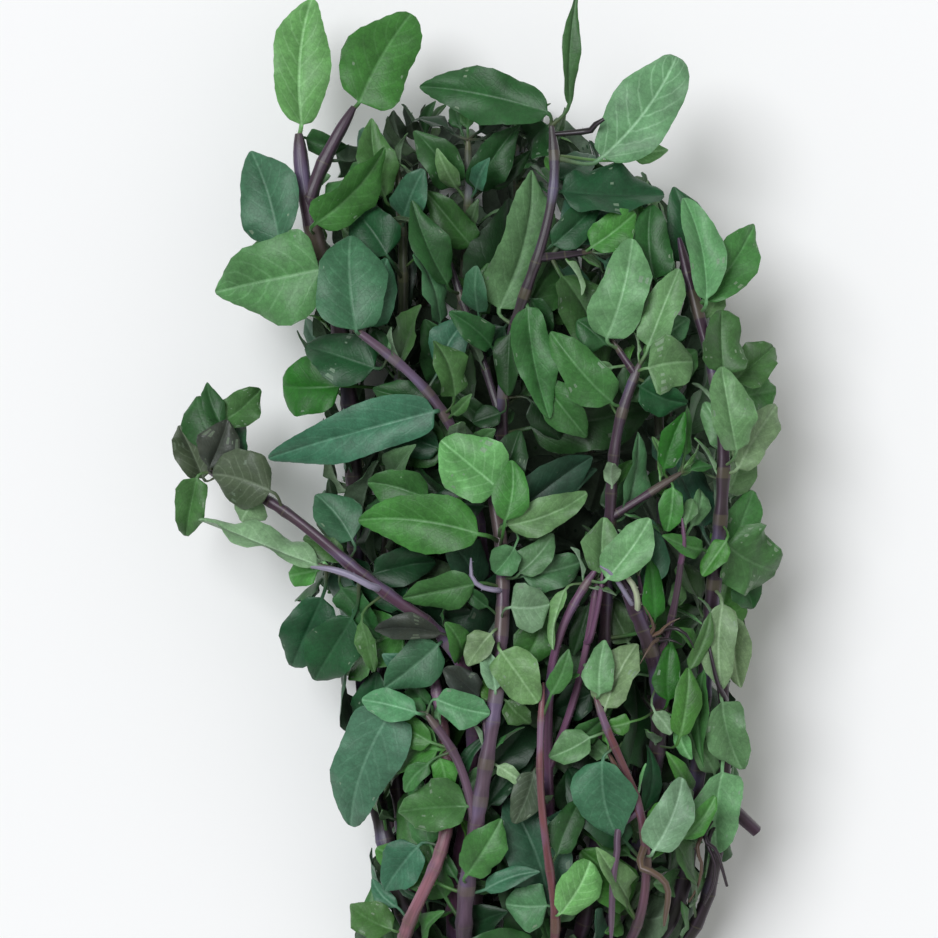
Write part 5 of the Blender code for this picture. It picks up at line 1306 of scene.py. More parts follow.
def blade_rings(leaf, shares, wide, columns, wilted):
    """Rings of the blade: grooved midrib, swelling between the side veins, waved edge."""
    middle, side, face, _ = rib_rows(leaf, shares)
    across, v = columns[None, :], shares[:, None]
    out, sign = np.abs(across), np.sign(across)
    fold = leaf.fold + sign * leaf.skew
    ripple = (np.sin(v * leaf.pace + leaf.phase + 1.7 * sign)
              + 0.22 * np.sin(v * 29.0 + 2.3 * leaf.phase + 2.1 * sign))
    lift = (out * wide * np.sin(fold)
            + FINE_WAVE * leaf.wave * ripple * out ** 1.7 * np.minimum(1.0, wide / leaf.half)
            + CUSHION * wide * out * (1.0 - out) * (1.0 + wilted))
    between = 0.5 - 0.5 * np.cos(2 * np.pi * vein_phase(v, across))
    swelling = (QUILTING[0] + QUILTING[1] * wilted) * leaf.half * smooth(v, 0.05, 0.2)
    lift = lift + swelling * (1 - smooth(v, 0.8, 1.0)) * between * np.sin(np.pi * out ** 0.8)
    buckle = np.sin(v * 17.0 + 3.1 * leaf.phase) * np.sin(out * 5.0 + leaf.phase)
    lift = lift + (BUCKLING[0] + BUCKLING[1] * wilted) * leaf.half * buckle * np.sin(np.pi * out)
    near_rib = np.clip(1.0 - (across * wide / 0.8) ** 2, 0.0, 1.0) * petiole_half(leaf)
    sheet = SHEET * (1.0 - out ** 6)
    top = sheet + near_rib * (0.5 - 0.8 * smooth(v, 0.0, 0.25))
    below = sheet + near_rib * (0.65 - 0.55 * v)
    inner = out < 1.0
    plane = (middle[:, None, :] + face[:, None, :] * lift[..., None]
             + side[:, None, :] * (across * wide * np.cos(fold))[..., None])
    above = plane + face[:, None, :] * np.where(inner, top, 0.0)[..., None]
    under = plane - face[:, None, :] * np.where(inner, below, 0.0)[..., None]
    return np.concatenate((above, under[:, -2:0:-1]), axis=1)


def vein_phase(v, across):
    """A whole number along each side vein, which leaves the midrib and runs towards the tip."""
    steady, growing = VEIN_SLANT
    out = np.abs(across)
    return (v - steady * out - growing * out ** 2) * VEIN_PAIRS + 0.06 * np.sign(across)


def add_leaf(growth, leaf, number, rng, looks):
    """Adds one fine leaf to a piece."""
    _, wilted, _, veining = BLADES[leaf.look]
    fewest, most = TOOTH_COUNTS
    teeth = max(fewest, min(most, round(leaf.chord / TOOTH_LENGTH)))
    starts = np.arange(teeth) / teeth
    even = np.stack((starts, starts + TOOTH_RISE / teeth), axis=-1).ravel()
    shares = even + (0.5 - 0.5 * np.cos(np.pi * even) - even) * END_CROWDING
    half_columns = WIDE_COLUMNS if leaf.half > NARROW_HALF else NARROW_COLUMNS
    columns = np.array([-c for c in half_columns[:0:-1]] + list(half_columns))
    wide = half_widths(leaf, shares, columns, looks.tooth_depth)
    rings = np.concatenate((petiole_rings(leaf, columns),
                            blade_rings(leaf, shares, wide, columns, wilted)))
    corners, quads, fans = closed_tube(rings, np.array(leaf.heart), np.array(leaf.tip))

    around = np.concatenate((columns, columns[-2:0:-1]))[None, :]
    before = -PETIOLE_SHARE * (1.0 - np.arange(PETIOLE_RINGS) / PETIOLE_RINGS)
    v = np.concatenate((before, shares))[:, None]
    grid = (len(v), around.shape[1])
    widths = np.concatenate((np.full((PETIOLE_RINGS, grid[1]), petiole_half(leaf)),
                             half_widths(leaf, shares, around[0], looks.tooth_depth)))
    veins = corner_rows(grid, (vein_phase(v, around), np.abs(around), v),
                        [(0.5, 0, -PETIOLE_SHARE), (0.5, 0, 1)])
    shift = number * PATTERN_SHIFT
    places = corner_rows(grid, (widths * around, v * leaf.chord, shift),
                         [(0, -PETIOLE_SHARE * leaf.chord, shift), (0, leaf.chord, shift)])
    # painted shade: leaves deep inside the bunch, where shade falls, get a darker colour on both
    # faces
    reach, _ = reach_at((leaf.base + leaf.tip) / 2)
    lightness = 1.0 - INNER_PAINTED_SHADE * (1.0 - smooth(reach, 0.45, 0.9))
    upper = varied(rng, getattr(looks, leaf.look), UPPER_VARIETY) * lightness
    under = upper + (varied(rng, looks.underside, UNDER_VARIETY) * lightness
                     - upper) * looks.underside_share
    tints = np.full(grid + (4,), wilted)
    tints[:, :len(columns), :3] = upper
    tints[:, len(columns):, :3] = under
    stalk = np.array(looks.petiole[:3])
    near_stem = (smooth(before, 0.0, -PETIOLE_SHARE) * 0.8)[:, None, None]
    tints[:PETIOLE_RINGS, :, :3] += (stalk - tints[:PETIOLE_RINGS, :, :3]) * near_stem
    tints = np.concatenate((tints.reshape(-1, 4), [(*stalk, wilted), (*upper, wilted)]))
    slots = np.where(np.arange(grid[1]) >= len(columns) - 1, UNDER, UPPER)
    drawn = np.full(grid, veining) * (v >= 0.0)
    growth.add(corners, quads, fans, np.tile(slots, len(v) - 1), np.tile(slots, 2),
               veins, places, tints, np.append(drawn.ravel(), (0.0, 0.0)))


def strands(stems):
    """The thin strands, each from the heart of the closest stalk."""
    roots = Roots(stems)
    for name, colour, thick, thin, places in STRANDS:
        route = [spot(*place) for place in places]
        stem, root, _ = roots.nearest(name, route[0], route[1])
        course = even_course([root] + route, STALK_STEP)
        last = len(course) - 1
        halves = [blend(thick, thin, i / last) for i in range(last + 1)]
        strand = Stem(stem.name, course, halves, 30.0, stem)
        strand.fine_course, strand.fine_halves = course, halves
        strand.colours = (colour, colour)
        yield strand


def add_hairs(growth, rings, outward, along, tints, rng):
    """Adds short hairs to a stalk, each a closed spike sunk in its skin."""
    count = len(rings) * HAIRS_PER_RING
    picks = [(rng.randrange(len(rings)), rng.randrange(STALK_SIDES)) for _ in range(count)]
    i, k = (np.array(row) for row in zip(*picks))
    root, out, up = rings[i, k], outward[i, k], along[i]
    slant = np.array([rng.uniform(-0.9, 0.9) for _ in range(count)])[:, None]
    reach = np.array([rng.uniform(*HAIR_LENGTHS) for _ in range(count)])[:, None]
    root = root - out * HAIR_DEPTH + up * slant * 1.5
    across = np.cross(out, up)
    corners = np.stack((root + up * HAIR_HALF, root - up * HAIR_HALF + across * HAIR_HALF,
                        root - up * HAIR_HALF - across * HAIR_HALF,
                        root + (out + up * slant * 0.6) * reach), axis=1).reshape(-1, 3)
    start = np.arange(count)[:, None] * 4
    fans = np.concatenate([start + np.array(face) for face in
                           ((0, 2, 1), (0, 1, 3), (1, 2, 3), (2, 0, 3))])
    hue = np.concatenate((np.repeat(tints[i], 4, axis=0), np.ones((count * 4, 1))), axis=1)
    growth.add(corners, np.zeros((0, 4), int), fans, np.zeros(0, int), np.full(len(fans), BARK),
               np.zeros((count * 4, 3)), corners, hue, np.zeros(count * 4))


def add_stalk(growth, stem, leaves, rng, looks):
    """Adds a fine square stalk with swollen joints, from its cut end to its tip."""
    course = even_course(stem.fine_course, STALK_STEP)
    last = len(stem.fine_halves) - 1
    halves = np.interp(np.linspace(0, last, len(course)), range(last + 1), stem.fine_halves)
    shape = Stem(stem.name, course, halves, math.degrees(stem.roll))
    points = np.array(course)
    steps = np.linalg.norm(np.diff(points, axis=0), axis=1)
    length = np.concatenate(([0.0], np.cumsum(steps)))
    joints = [length[np.argmin(np.linalg.norm(points - np.array(leaf.root), axis=1))]
              for leaf in leaves if leaf.stem is stem]
    if stem.parent is None:
        old = np.arange(FIRST_SCAR, stem.leafy_from * COURSE_STEP, SCAR_SPACING)
        joints += [place + rng.uniform(-SCAR_DRIFT, SCAR_DRIFT) for place in old]
    swollen = np.zeros(len(points))
    for joint in joints:
        swollen = np.maximum(swollen, np.exp(-((length - joint) / NODE_REACH) ** 2))
    halves = halves * (1.0 + NODE_SWELL * swollen)
    is_stub = stem.parent is not None and stem.name == CUT_SHOOT
    if not is_stub:
        halves[-len(TIP_TAPER):] *= TIP_TAPER
    angles = np.arange(STALK_SIDES) / STALK_SIDES * math.tau
    square = (np.abs(np.cos(angles)) ** STALK_SQUARENESS
              + np.abs(np.sin(angles)) ** STALK_SQUARENESS) ** (-1 / STALK_SQUARENESS)
    side, above = (np.array([row[k] for row in shape.frames()])[:, None, :] for k in (1, 2))
    radial = (side * (square * np.cos(angles))[None, :, None]
              + above * (square * np.sin(angles))[None, :, None])
    rings = points[:, None, :] + radial * halves[:, None, None]
    corners, quads, fans = closed_tube(rings, points[0], points[-1])

    grid = (len(points), STALK_SIDES)
    base, tip = (varied(rng, getattr(looks, name), STALK_VARIETY) for name in stem.colours)
    share = length / length[-1] if stem.parent is None else np.ones(len(points))
    colour = (base + (tip - base) * smooth(share, 0.3, 1.0)[:, None])
    colour = colour * (1.0 - NODE_DARKNESS * swollen[:, None])
    tints = np.ones(grid + (4,))
    tints[..., :3] = colour[:, None, :]
    tints = np.concatenate((tints.reshape(-1, 4), [(*colour[0], 1.0), (*colour[-1], 1.0)]))
    ridge = (square - 1.0) / (square.max() - 1.0)
    veins = corner_rows(grid, (ridge, swollen[:, None], 1.0), np.zeros((2, 3)))
    places = corner_rows(grid, (np.cos(angles) * halves[:, None],
                                np.sin(angles) * halves[:, None], length[:, None]),
                         [(0, 0, 0), (0, 0, length[-1])])
    ends = (PITH if stem.parent is None else BARK, PITH if is_stub else BARK)
    growth.add(corners, quads, fans, np.full(len(quads), BARK), np.repeat(ends, STALK_SIDES),
               veins, places, tints, np.zeros(len(corners)))
    along = np.array([row[0] for row in shape.frames()])
    add_hairs(growth, rings, radial, along, colour * 1.6 + 0.05, rng)


def young_leaf(rng, stem, i, outward, lengths, rises):
    """A small leaf that grows from a point of a stem, its face turned to the stem's tip."""
    along = (stem.course[min(i + 1, len(stem.course) - 1)] - stem.course[max(i - 1, 0)]).normalized()
    rise = math.radians(rng.uniform(*rises))
    ahead = outward * math.cos(rise) + along * math.sin(rise)
    length = rng.uniform(*lengths)
    half = stem.halves[i]
    base = stem.course[i] + ahead * (half + rng.uniform(1.6, 3.2))
    up = along * math.cos(rise) - outward * math.sin(rise)
    look = rng.choice(YOUNG_LOOKS)
    return Leaf(stem, stem.course[i], half, base, base + ahead * length, up,
                length * rng.uniform(0.48, 0.62), rng.uniform(10, 40), look,
                rng.uniform(0.0, math.tau))


def young_leaves(stems, room, seen, cover):
    """Small leaves round each tip, and pairs where larger leaves leave their stem."""
    rng = random.Random(SEED + 3)
    grown = []
    for stem in stems:
        if stem.parent and stem.name == CUT_SHOOT:
            continue
        last = len(stem.course) - 1
        wanted = [(last, YOUNG_LENGTHS, (52, 84), pair) for pair in range(3)]
        wanted += [(last - 1, YOUNG_LENGTHS, (25, 60), 1), (last - 2, YOUNG_LENGTHS, (10, 50), 0)]
        for i in range(stem.leafy_from, last - 2, 3):
            if rng.random() < AXIL_SHARE:
                wanted.append((i, AXIL_LENGTHS, (20, 60), rng.randrange(4)))
        frames = stem.frames()
        for i, lengths, rises, pair in wanted:
            _, side, up = frames[i]
            for half_turn in (0.0, math.pi):
                angle = pair * math.pi / 2 + half_turn + rng.uniform(-0.4, 0.4)
                outward = side * math.cos(angle) + up * math.sin(angle)
                for _ in range(3):
                    leaf = young_leaf(rng, stem, i, outward, lengths, rises)
                    if (reach_at(leaf.tip)[0] < 1.0 and not seen.hidden_by(leaf)
                            and room.is_free(leaf)):
                        grown.append(leaf)
                        room.add(leaf.mesh())
                        cover.add(leaf)
                        break
    return grown


def thicket_leaf(rng, place):
    """A leaf like those that the solids have, but shorter and narrower."""
    leaf = grown_leaf(rng, *place)
    size = rng.uniform(*THICKET_SIZES)
    tip = leaf.base + leaf.ahead * leaf.chord * size
    return Leaf(leaf.stem, leaf.root, leaf.stem_half, leaf.base, tip, leaf.up,
                leaf.half * 2 * size * rng.uniform(*THICKET_WIDTHS),
                math.degrees(leaf.droop) * rng.uniform(*THICKET_DROOPS),
                rng.choice(THICKET_LOOKS), leaf.phase)


def thicket_leaves(stems, room, seen, cover):
    """Middling and small leaves all over the bunch's surface, the barest patches first."""
    rng = random.Random(SEED + 8)
    grown = []
    for least in THICKET_LEAST:
        for place in leaf_places(stems, rng):
            if len(grown) >= THICKET_LEAVES:
                return grown
            options = (thicket_leaf(rng, place) for _ in range(THICKET_TRIES))
            leaf = best_leaf(options, least, THICKET_TESTED, room, seen, cover)
            if leaf is not None:
                grown.append(leaf)
    return grown


class Sight:
    """What stands in the way of lines of sight through the bunch."""

    def __init__(self, stems, leaves):
        self.solid = surface_tree([stem_mesh(stem) for stem in stems]
                                  + [leaf.mesh() for leaf in leaves])
        self.added = []

    def add(self, leaf):
        middle, _, _ = leaf.rib(0.5)
        self.added.append((middle, leaf.chord * 0.6, BVHTree.FromPolygons(*leaf.mesh())))

    def is_open(self, start, heading):
        if self.solid.ray_cast(start, heading)[0] is not None:
            return False
        for middle, reach, tree in self.added:
            if (middle - start).cross(heading).length < reach:
                if tree.ray_cast(start, heading)[0] is not None:
                    return False
        return True


def sight_lines():
    """Start, heading and a point inside the bunch, for lines of sight all round it."""
    rng = random.Random(SEED + 4)
    for number, angles in enumerate(CLOSING_ANGLES):
        turn, yaw = (math.radians(angle) for angle in angles)
        outward = Vector((math.sin(turn) * math.cos(yaw), math.sin(yaw),
                          math.cos(turn) * math.cos(yaw)))
        across = Vector((math.cos(turn), 0.0, -math.sin(turn)))
        for row in range(int(CLOSING_SPAN / CLOSING_STEP)):
            y = CLOSING_TOP_Y - row * CLOSING_STEP
            found = outline_at(y)
            if found is None:
                continue
            left, right, height = found
            middle = Vector(((left + right) / 2, y, MIDDLE_OF_HEIGHT * height))
            for column in range(-CLOSING_COLUMNS, CLOSING_COLUMNS + 1):
                foot = middle + across * column * CLOSING_STEP
                depth = rng.uniform(*CLOSING_DEPTH)
                start = foot + outward * CLOSING_DISTANCE
                if number == 0:
                    start = Vector((0.0, 0.0, EYE_HEIGHT))
                target = None
                for step in CLOSING_SEARCH:
                    point = foot + outward * step
                    if reach_at(point)[0] < depth and point.z > CLOSING_LOWEST:
                        target = point
                        break
                if target is not None:
                    yield start, (target - start).normalized(), target


def closing_leaf(rng, stem, i, target, outward, length):
    """A leaf from a point of a stem that lies over the target and faces outward."""
    root, half = stem.course[i], stem.halves[i]
    reach = (target - root).length
    ahead = (target - root).normalized()
    base = root + ahead * max(half + 1.8, reach - length * rng.uniform(0.35, 0.65))
    lean = Vector([rng.uniform(-0.35, 0.35) for _ in range(3)])
    return Leaf(stem, root, half, base, base + ahead * length, outward + lean,
                length * rng.uniform(0.5, 0.68), rng.uniform(8, 30), rng.choice(CLOSING_LOOKS),
                rng.uniform(0.0, math.tau))


def closing_leaves(stems, leaves, room):
    """Leaves inside the bunch wherever one could see through it."""
    rng = random.Random(SEED + 5)
    nodes = [(stem, i) for stem in stems for i in range(stem.leafy_from, len(stem.course))]
    tree = point_tree([stem.course[i] for stem, i in nodes])
    nearest, furthest = CLOSING_REACH
    sight = Sight(stems, leaves)
    grown = []
    for start, heading, target in sight_lines():
        if not sight.is_open(start, heading):
            continue
        near = [nodes[number] for point, number, _ in tree.find_range(target, furthest)
                if (point - target).length > nearest]
        rng.shuffle(near)
        for length in CLOSING_LENGTHS:
            options = (closing_leaf(rng, stem, i, target, -heading, length)
                       for stem, i in near[:CLOSING_ROOTS])
            leaf = next((option for option in options
                         if reach_at(option.tip)[0] < 1.0
                         and (option.base - option.root).length < LONGEST_STALK
                         and room.is_free(option)), None)
            if leaf is not None:
                grown.append(leaf)
                room.add(leaf.mesh())
                sight.add(leaf)
                break
    return grown


@cache
def whole_bunch():
    """Stems and all leaves of the bunch in mm, laid out once."""
    stems = make_stems()
    room = Room()
    for stem in stems:
        room.add(stem_mesh(stem), stem.name)
    leaves = seen_leaves(stems, room)
    seen = SeenLeaves(leaves)
    cover = Cover(leaves)
    leaves += filling_leaves(stems, room, seen, cover)
    small = young_leaves(stems, room, seen, cover)
    small += thicket_leaves(stems, room, seen, cover)
    closing = closing_leaves(stems, leaves + small, room)
    return stems, leaves, small, closing


SOFT_STEP = {"interpolation_type": "SMOOTHSTEP"}


def set_inputs(tree, node, inputs):
    """Gives a node's inputs their values, or the outputs of other nodes."""
    for label, value in inputs.items():
        if isinstance(value, bpy.types.NodeSocket):
            tree.links.new(value, node.inputs[label])
        else:
            node.inputs[label].default_value = value


def add_node(tree, kind, inputs=None, **settings):
    """Adds a node, with its settings and with a value or another node's output per input."""
    made = tree.nodes.new(kind)
    for label, value in settings.items():
        setattr(made, label, value)
    set_inputs(tree, made, inputs or {})
    return made


def new_material(name):
    """A material with a Principled shader, and both of them for more nodes."""
    material = bpy.data.materials.new(name)
    material.use_nodes = True
    return material, material.node_tree, material.node_tree.nodes["Principled BSDF"]


def leaf_skin(name, paleness, vein_lightness, vein_least, vein_height, roughness):
    """Fresh mint leaf: a waxy skin quilted by a net of veins, with small hairs that give sheen.

    Side veins come from the vein attribute, the net is 1.5 mm wide, blotches are 9 mm and 2 mm wide.
    """
    material, tree, shader = new_material(name)
    vein, place, tint, veining = (add_node(tree, "ShaderNodeAttribute", attribute_name=label)
                                  for label in ("vein", "place", "tint", "veining"))
    where = place.outputs["Vector"]
    parts = add_node(tree, "ShaderNodeSeparateXYZ", {0: vein.outputs["Vector"]})
    spots = add_node(tree, "ShaderNodeSeparateXYZ", {0: where})

    wander = add_node(tree, "ShaderNodeTexNoise", {
        "Vector": where, "Scale": 0.35, "Detail": 2.0})
    shifted = add_node(tree, "ShaderNodeMath", {
        0: wander.outputs["Fac"], 1: 0.30, 2: parts.outputs["X"]}, operation="MULTIPLY_ADD")
    nearest = add_node(tree, "ShaderNodeMath", {0: shifted.outputs[0], 1: 1.0},
                       operation="PINGPONG")
    # ping-pong with scale 1 is 0 on even numbers and 1 on odd ones, and both are veins
    folded = add_node(tree, "ShaderNodeMath", {0: nearest.outputs[0], 1: 0.5},
                      operation="SUBTRACT")
    away = add_node(tree, "ShaderNodeMath", {0: folded.outputs[0]}, operation="ABSOLUTE")
    side_vein = add_node(tree, "ShaderNodeMapRange", {
        "Value": away.outputs[0], "From Min": 0.36, "From Max": 0.5},
        **SOFT_STEP)
    fading = add_node(tree, "ShaderNodeMapRange", {
        "Value": parts.outputs["Y"], "From Min": 0.98, "From Max": 0.55},
        **SOFT_STEP)
    side_shown = add_node(tree, "ShaderNodeMath", {
        0: side_vein.outputs[0], 1: fading.outputs[0]}, operation="MULTIPLY")
    side_drawn = add_node(tree, "ShaderNodeMath", {
        0: side_shown.outputs[0], 1: veining.outputs["Fac"]}, operation="MULTIPLY")
    middle = add_node(tree, "ShaderNodeMath", {0: spots.outputs["X"]}, operation="ABSOLUTE")
    rib = add_node(tree, "ShaderNodeMapRange", {
        "Value": middle.outputs[0], "From Min": 0.7, "From Max": 0.1},
        **SOFT_STEP)
    veins = add_node(tree, "ShaderNodeMath", {0: side_shown.outputs[0], 1: rib.outputs[0]},
                     operation="MAXIMUM")
    net = add_node(tree, "ShaderNodeTexVoronoi", {
        "Vector": where, "Scale": 0.66, "Randomness": 0.9},
        feature="DISTANCE_TO_EDGE")
    net_line = add_node(tree, "ShaderNodeMapRange", {
        "Value": net.outputs["Distance"], "From Min": 0.0, "From Max": 0.16},
        **SOFT_STEP)
    blotch = add_node(tree, "ShaderNodeTexNoise", {
        "Vector": where, "Scale": 0.11, "Detail": 3.0, "Roughness": 0.6})
    lightness = add_node(tree, "ShaderNodeMapRange", {
        "Value": blotch.outputs["Fac"], "From Min": 0.3, "From Max": 0.7,
        "To Min": 0.74, "To Max": 1.24})
    mottle = add_node(tree, "ShaderNodeTexNoise", {
        "Vector": where, "Scale": 0.5, "Detail": 3.0, "Roughness": 0.65})
    mottled = add_node(tree, "ShaderNodeMapRange", {
        "Value": mottle.outputs["Fac"], "From Min": 0.3, "From Max": 0.7,
        "To Min": 0.86, "To Max": 1.14})
    netted = add_node(tree, "ShaderNodeMapRange", {
        "Value": net_line.outputs[0], "To Min": 0.90, "To Max": 1.03})
    uneven = add_node(tree, "ShaderNodeMath", {
        0: mottled.outputs[0], 1: netted.outputs[0]}, operation="MULTIPLY")
    shade = add_node(tree, "ShaderNodeMath", {
        0: lightness.outputs[0], 1: uneven.outputs[0]}, operation="MULTIPLY")
    toned = add_node(tree, "ShaderNodeHueSaturation", {
        "Color": tint.outputs["Color"], "Value": shade.outputs[0], "Saturation": paleness})
    dry = add_node(tree, "ShaderNodeMath", {
        0: tint.outputs["Alpha"], 1: blotch.outputs["Fac"]}, operation="MULTIPLY")
    withered = add_node(tree, "ShaderNodeMix", {
        0: dry.outputs[0], 6: toned.outputs["Color"], 7: linear("3E3A28")}, data_type="RGBA")
    shown = add_node(tree, "ShaderNodeMath", {0: veining.outputs["Fac"], 1: vein_least},
                     operation="MAXIMUM")
    drawn = add_node(tree, "ShaderNodeMath", {0: side_drawn.outputs[0], 1: rib.outputs[0]},
                     operation="MAXIMUM")
    vein_share = add_node(tree, "ShaderNodeMath", {0: drawn.outputs[0], 1: shown.outputs[0]},
                          operation="MULTIPLY")
    pale = add_node(tree, "ShaderNodeHueSaturation", {
        "Color": withered.outputs[2], "Value": vein_lightness, "Saturation": 0.72})
    veined = add_node(tree, "ShaderNodeMix", {
        0: vein_share.outputs[0], 6: withered.outputs[2], 7: pale.outputs["Color"]},
        data_type="RGBA")

    grain = add_node(tree, "ShaderNodeTexNoise", {
        "Vector": where, "Scale": 2.4, "Detail": 2.0})
    cushion = add_node(tree, "ShaderNodeMath", {
        0: veins.outputs[0], 1: vein_height, 2: net_line.outputs[0]}, operation="MULTIPLY_ADD")
    relief = add_node(tree, "ShaderNodeMath", {
        0: grain.outputs["Fac"], 1: 0.35, 2: cushion.outputs[0]}, operation="MULTIPLY_ADD")
    bump = add_node(tree, "ShaderNodeBump", {
        "Height": relief.outputs[0], "Strength": 0.35, "Distance": 0.00006})
    set_inputs(tree, shader, {
        "Base Color": veined.outputs[2], "Normal": bump.outputs["Normal"], "Roughness": roughness,
        "IOR": 1.42, "Sheen Weight": 0.05, "Sheen Roughness": 0.5})
    return material


def stalk_bark(gloss):
    """Fresh mint stem: a smooth, slightly waxy square stem, streaked lengthwise, ridges paler."""
    material, tree, shader = new_material("purple mint stem, fresh")
    vein, place, tint = (add_node(tree, "ShaderNodeAttribute", attribute_name=label)
                         for label in ("vein", "place", "tint"))
    parts = add_node(tree, "ShaderNodeSeparateXYZ", {0: vein.outputs["Vector"]})
    # streaks are 0.7 mm wide and 12 mm long
    drawn = add_node(tree, "ShaderNodeVectorMath", {
        0: place.outputs["Vector"], 1: (1.4, 1.4, 0.08)}, operation="MULTIPLY")
    streaks = add_node(tree, "ShaderNodeTexNoise", {
        "Vector": drawn.outputs[0], "Scale": 1.0, "Detail": 4.0, "Roughness": 0.6})
    # green patches are 11 mm wide
    patches = add_node(tree, "ShaderNodeTexNoise", {
        "Vector": place.outputs["Vector"], "Scale": 0.09, "Detail": 2.0})
    lightness = add_node(tree, "ShaderNodeMapRange", {
        "Value": streaks.outputs["Fac"], "From Min": 0.3, "From Max": 0.7,
        "To Min": 0.72, "To Max": 1.3})
    toned = add_node(tree, "ShaderNodeHueSaturation", {
        "Color": tint.outputs["Color"], "Value": lightness.outputs[0]})
    greener = add_node(tree, "ShaderNodeMapRange", {
        "Value": patches.outputs["Fac"], "From Min": 0.45, "From Max": 0.75,
        "To Min": 0.0, "To Max": 0.2})
    mixed = add_node(tree, "ShaderNodeMix", {
        0: greener.outputs[0], 6: toned.outputs["Color"], 7: linear("4F5A3C")},
        data_type="RGBA")
    ridge = add_node(tree, "ShaderNodeMapRange", {
        "Value": parts.outputs["X"], "From Min": 0.35, "From Max": 1.0,
        "To Min": 0.0, "To Max": 0.16})
    ridged = add_node(tree, "ShaderNodeMix", {
        0: ridge.outputs[0], 6: mixed.outputs[2], 7: linear("8C7890")}, data_type="RGBA")
    # lavender patches 20 mm long: partly the stem's own pale coating, partly painted highlight for
    # the lavender sheen of its gloss
    stretch = add_node(tree, "ShaderNodeVectorMath", {
        0: place.outputs["Vector"], 1: (0.12, 0.12, 0.05)}, operation="MULTIPLY")
    lavender_patches = add_node(tree, "ShaderNodeTexNoise", {
        "Vector": stretch.outputs[0], "Scale": 1.0, "Detail": 1.0})
    lavender_share = add_node(tree, "ShaderNodeMapRange", {
        "Value": lavender_patches.outputs["Fac"], "From Min": 0.52, "From Max": 0.68,
        "To Min": 0.0, "To Max": 0.30}, **SOFT_STEP)
    sheened = add_node(tree, "ShaderNodeMix", {
        0: lavender_share.outputs[0], 6: ridged.outputs[2], 7: linear("7F78A0")}, data_type="RGBA")
    ring = add_node(tree, "ShaderNodeMapRange", {
        "Value": parts.outputs["Y"], "From Min": 0.9, "From Max": 1.0,
        "To Min": 0.0, "To Max": 0.2}, **SOFT_STEP)
    ringed = add_node(tree, "ShaderNodeMix", {
        0: ring.outputs[0], 6: sheened.outputs[2], 7: linear("7D7A50")}, data_type="RGBA")
    bump = add_node(tree, "ShaderNodeBump", {
        "Height": streaks.outputs["Fac"], "Strength": 0.5, "Distance": 0.0002})
    set_inputs(tree, shader, {
        "Base Color": ringed.outputs[2], "Normal": bump.outputs["Normal"], "Roughness": gloss,
        "IOR": 1.45, "Sheen Weight": 0.08})
    return material


def stalk_pith():
    """Freshly cut mint stem: a pale, moist, spongy core inside a green rim."""
    material, tree, shader = new_material("cut mint stem, pith")
    vein, place = (add_node(tree, "ShaderNodeAttribute", attribute_name=label)
                   for label in ("vein", "place"))
    parts = add_node(tree, "ShaderNodeSeparateXYZ", {0: vein.outputs["Vector"]})
    # pores are 0.4 mm wide
    pores = add_node(tree, "ShaderNodeTexVoronoi", {
        "Vector": place.outputs["Vector"], "Scale": 2.6})
    rim = add_node(tree, "ShaderNodeMapRange", {
        "Value": parts.outputs["Z"], "From Min": 0.6, "From Max": 0.95},
        **SOFT_STEP)
    core = add_node(tree, "ShaderNodeMix", {
        0: pores.outputs["Distance"], 6: linear("D5DDB4"), 7: linear("A9B886")},
        data_type="RGBA")
    cut = add_node(tree, "ShaderNodeMix", {
        0: rim.outputs[0], 6: core.outputs[2], 7: linear("6E7B45")}, data_type="RGBA")
    bump = add_node(tree, "ShaderNodeBump", {
        "Height": pores.outputs["Distance"], "Strength": 0.6, "Distance": 0.0002})
    set_inputs(tree, shader, {"Base Color": cut.outputs[2], "Normal": bump.outputs["Normal"],
                              "Roughness": 0.5})
    return material


def plain_table(colour):
    """Matt white laminate, plain, with a faint unevenness."""
    material, tree, shader = new_material("white laminate, matt")
    noise = add_node(tree, "ShaderNodeTexNoise", {"Scale": 3.0, "Detail": 3.0})
    tone = add_node(tree, "ShaderNodeMix", {
        0: noise.outputs["Fac"], 6: tuple(colour), 7: tuple(c * 0.985 for c in colour[:3]) + (1,)},
        data_type="RGBA")
    set_inputs(tree, shader, {"Base Color": tone.outputs[2], "Roughness": 0.8})
    return material


@cache
def plant_materials():
    """The four finishes that every piece of the plant shares."""
    looks = bpy.context.scene.mint_stalks
    return (leaf_skin("mint leaf, upper skin", 1.0, 2.3, 0.0, -1.2, 0.46),
            leaf_skin("mint leaf, underside", 0.85, 1.6, 0.35, 1.6, 0.60),
            stalk_bark(looks.gloss), stalk_pith())


def finish_piece(obj, node_name):
    """Attaches a piece to the body that it moves with and hides the solid that it stands for."""
    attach(obj, "root")
    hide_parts(node_name)


def colour_property(name, description, hex_colour):
    """A colour that a user can change."""
    return bpy.props.FloatVectorProperty(name=name, description=description, subtype="COLOR",
                                         size=4, min=0.0, max=1.0, default=linear(hex_colour))


class LeafSettings(bpy.types.PropertyGroup):
    """Sizes and colours of the leaves."""

    for look, (colour, *_) in BLADES.items():
        __annotations__[look] = colour_property(
            f"{look.capitalize()} leaves", "Colour of their upper side", colour)
    underside: colour_property("Underside", "Colour that the undersides tend to", UNDERSIDE)
    petiole: colour_property("Petiole", "Colour of the petioles near the stem", "4A4A34")
    underside_share: bpy.props.FloatProperty(
        name="Underside paleness", description="How far the undersides take their own colour",
        subtype="FACTOR", min=0.0, max=1.0, default=0.6)
    tooth_depth: bpy.props.FloatProperty(
        name="Tooth depth", description="Depth of the edge's teeth against its usual depth",
        min=0.0, max=3.0, default=1.0)


